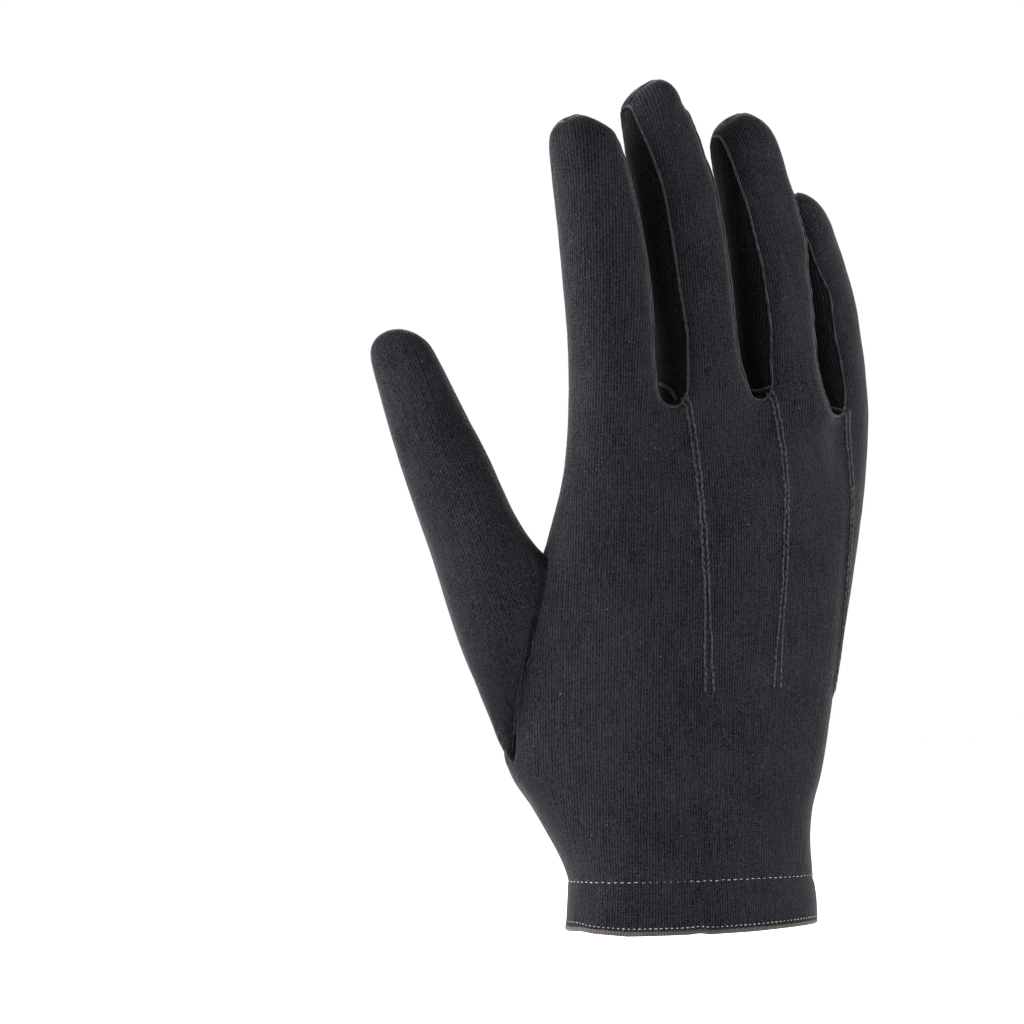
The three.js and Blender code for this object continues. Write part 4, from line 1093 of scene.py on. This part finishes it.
tucks = [run for places in crotchTucks for run in tuckPaths(places)]
beadPiece("crotchTucks", tucks, tuckLook["radius"], highlightEdging)
# The fingertip's notch gets a thin bead of the darker knit copy, a dark line of painted shade in the recess.
beadPiece("tipTuck", [(laidOn(tipTuck, tuckLook["tipLift"]), False)], tuckLook["tipRadius"], shadedKnit)
print("trims and seam ridges")

# Each raised line is two wavy rows of chained stitches, close at the middle and wider at the wrist end. The
# rows are beads of the lighter edging knit, a painted highlight, and a wider bead of the darker knit sunk
# under each row paints the shade along its sides
pointLook = {"marks": (0, 0.3, 0.75, 1), "halves": (0.85 * mm, 0.62 * mm, 0.62 * mm * 1.15, 1.3 * mm),
             "wave": 0.2 * mm, "period": 2.1 * mm, "step": 0.3 * mm, "span": 3, "row": 0.33 * mm,
             "shadeBead": 0.62 * mm, "shadeBeadSink": -0.5 * mm}
pointStitch = {"pitch": 2.1 * mm, "long": 1.45 * mm, "wide": 0.42 * mm, "high": 0.34 * mm, "lift": 0.17 * mm,
               "sway": 0.1 * mm, "lean": 0.22 * mm}


def rowBeside(path, side):
    look = pointLook
    count = len(path) - 1
    row = []
    for i, place in enumerate(path):
        half = np.interp(i / count, look["marks"], look["halves"])
        wave = look["wave"] * math.sin(2 * math.pi * i * look["step"] / look["period"] + side)
        spot, normal = onCloth(place)
        along = path[min(i + look["span"], count)] - path[max(i - look["span"], 0)]
        sideways = normal.cross(along).normalized()
        row.append(onCloth(spot + sideways * (side * half + wave))[0])
    return row


for node, path in pointPaths.items():
    path = resample(path, pointLook["step"])
    name = "raised" + "".join(word.capitalize() for word in node.split("_")[1:])
    rows = [rowBeside(path, side) for side in (-1, 1)]
    beadPiece(name, [(row, False) for row in rows], pointLook["row"], highlightEdging, node)
    stitchPiece(name + "Stitches", rows, pointStitch, blackThread)
    # Wider beads of the darker knit, sunk under the rows so only their rims show: painted shade beside the
    # raised line.
    shadeBeads = [(laidOn(row, pointLook["shadeBeadSink"]), False) for row in rows]
    beadPiece(name + "ShadeBeads", shadeBeads, pointLook["shadeBead"], shadedKnit)
print("raised lines")

# Hem stitching, fainter over a short stretch of the upper row
hemRow = {"pitch": 1.95 * mm, "long": 1.1 * mm, "wide": 0.3 * mm, "high": 0.22 * mm, "lift": 0.05 * mm,
          "sway": 0.07 * mm, "lean": 0.15 * mm, "faint": (-15 * mm, -2 * mm)}
edgeRow = {"pitch": 1.5 * mm, "long": 0.85 * mm, "wide": 0.3 * mm, "high": 0.22 * mm, "lift": 0.05 * mm}
palmRow = {"pitch": 1.8 * mm, "long": 0.8 * mm, "wide": 0.3 * mm, "high": 0.22 * mm, "lift": 0.06 * mm}
hemHeights = {"upper": 14.8, "wave": 0.6, "turn": 0.5, "lower": 3.0, "below": 0.55, "rayFrom": 0.2}


def ringRow(height, steps):
    path = []
    for i in range(steps + 1):
        a = 2 * math.pi * i / steps
        reach = hemHeights["rayFrom"]
        start = Vector((math.sin(a) * reach, -math.cos(a) * reach, height(a) * mm))
        spot = clothTree.ray_cast(start, Vector((-math.sin(a), math.cos(a), 0)))[0]
        if spot:
            path.append(spot)
    return path


def upperHem(a):
    return hemHeights["upper"] + hemHeights["wave"] * math.sin(a + hemHeights["turn"])


# The row along the lower edge follows its bend on the back of the hand
def lowerHem():
    row = []
    for place in ringRow(lambda a: hemHeights["lower"], steps=120):
        bend = np.interp(place.dot(across) / mm, hemEdge["places"], hemEdge["heights"]) - hemEdge["sink"]
        lower = (bend - hemHeights["below"]) * min(max(-place.y / hemEdge["front"], 0), 1)
        row.append(onCloth(place + Vector((0, 0, lower * mm)))[0])
    return row


stitchPiece("hemStitches", [ringRow(upperHem, steps=90)], hemRow, thread)
stitchPiece("edgeStitches", [lowerHem()], edgeRow, thread)

# The seam of the little finger's side runs on over the palm to the wrist, with stitches beside it
palmLook = {"radius": 0.3 * mm, "lift": 0.05 * mm, "beside": 1.2 * mm}
beadPiece("palmSeamRidge", [(laidOn(palmSeam, palmLook["lift"]), False)], palmLook["radius"], highlightEdging)
besideSeam = laidOn([place - across * palmLook["beside"] for place in palmSeam])
stitchPiece("palmSeamStitches", [besideSeam], palmRow, thread)

# A bent row holds the flap's facing: how far beside the keyhole and how high, in mm
facingPlaces = [(8.5, 53.6), (12.7, 52.5), (15, 48.2), (15, 43.4), (13.3, 37)]
keyholeLow = 40 * mm
keyhole = [v.co for v in nodes["vent_binding"].data.vertices if v.co.z > keyholeLow]
keyholeAt = sum(place.dot(across) for place in keyhole) / len(keyhole) / mm
facing = [castAt(across * (keyholeAt + beside) * mm, z, -1)[0] for beside, z in facingPlaces]
stitchPiece("facingStitches", [easedPath(facing, rounds=4)], palmRow, thread)
print("hem and palm stitches")

# Snap: a turned cap on its own axis, each ring a share of the radius and a height in rims or domes
snap = {"radius": 6.5 * mm, "dome": 2.3 * mm, "rim": 0.42 * mm, "segments": 64, "sameSpot": 0.01 * mm}
capRings = [(0.0, "rim", 0.0), (0.94, "rim", 0.0), (1, "rim", 1), (1, "rim", 1.8), (0.975, "rim", 2.4),
            (0.93, "rim", 2.5), (0.9, "rim", 2.35), (0.86, "rim", 2.6), (0.74, "dome", 0.74),
            (0.52, "dome", 0.89), (0.27, "dome", 0.975), (0.0, "dome", 1)]


def snapFrame(node):
    places = np.array([v.co for v in nodes[node].data.vertices])
    middle = places.mean(0)
    axis = Vector(np.linalg.svd(places - middle, full_matrices=False)[2][2])
    if axis.y < 0:
        axis = -axis
    depth = (places - middle) @ np.array(axis)
    return Vector(middle) + axis * float(depth.min()), axis


def makeCap():
    base, axis = snapFrame("snap_cap")
    bm = bmesh.new()
    corners = [bm.verts.new((snap["radius"] * out, 0, snap[part] * up)) for out, part, up in capRings]
    edges = [bm.edges.new(pair) for pair in zip(corners, corners[1:])]
    bmesh.ops.spin(bm, geom=corners + edges, axis=(0, 0, 1), cent=(0, 0, 0), angle=2 * math.pi,
                   steps=snap["segments"], use_merge=True)
    bmesh.ops.remove_doubles(bm, verts=bm.verts, dist=snap["sameSpot"])
    bmesh.ops.recalc_face_normals(bm, faces=bm.faces)
    turn = Vector((0, 0, 1)).rotation_difference(axis).to_matrix().to_4x4()
    turn.translation = base
    bmesh.ops.transform(bm, matrix=turn, verts=bm.verts)
    dress(addPiece("snapCap", bm, enamel), "enamel", "snap_cap")


makeCap()
for node in ("snap_socket", "snap_stud"):
    nodes[node].data.materials.clear()
    nodes[node].data.materials.append(steel)
print("snap")
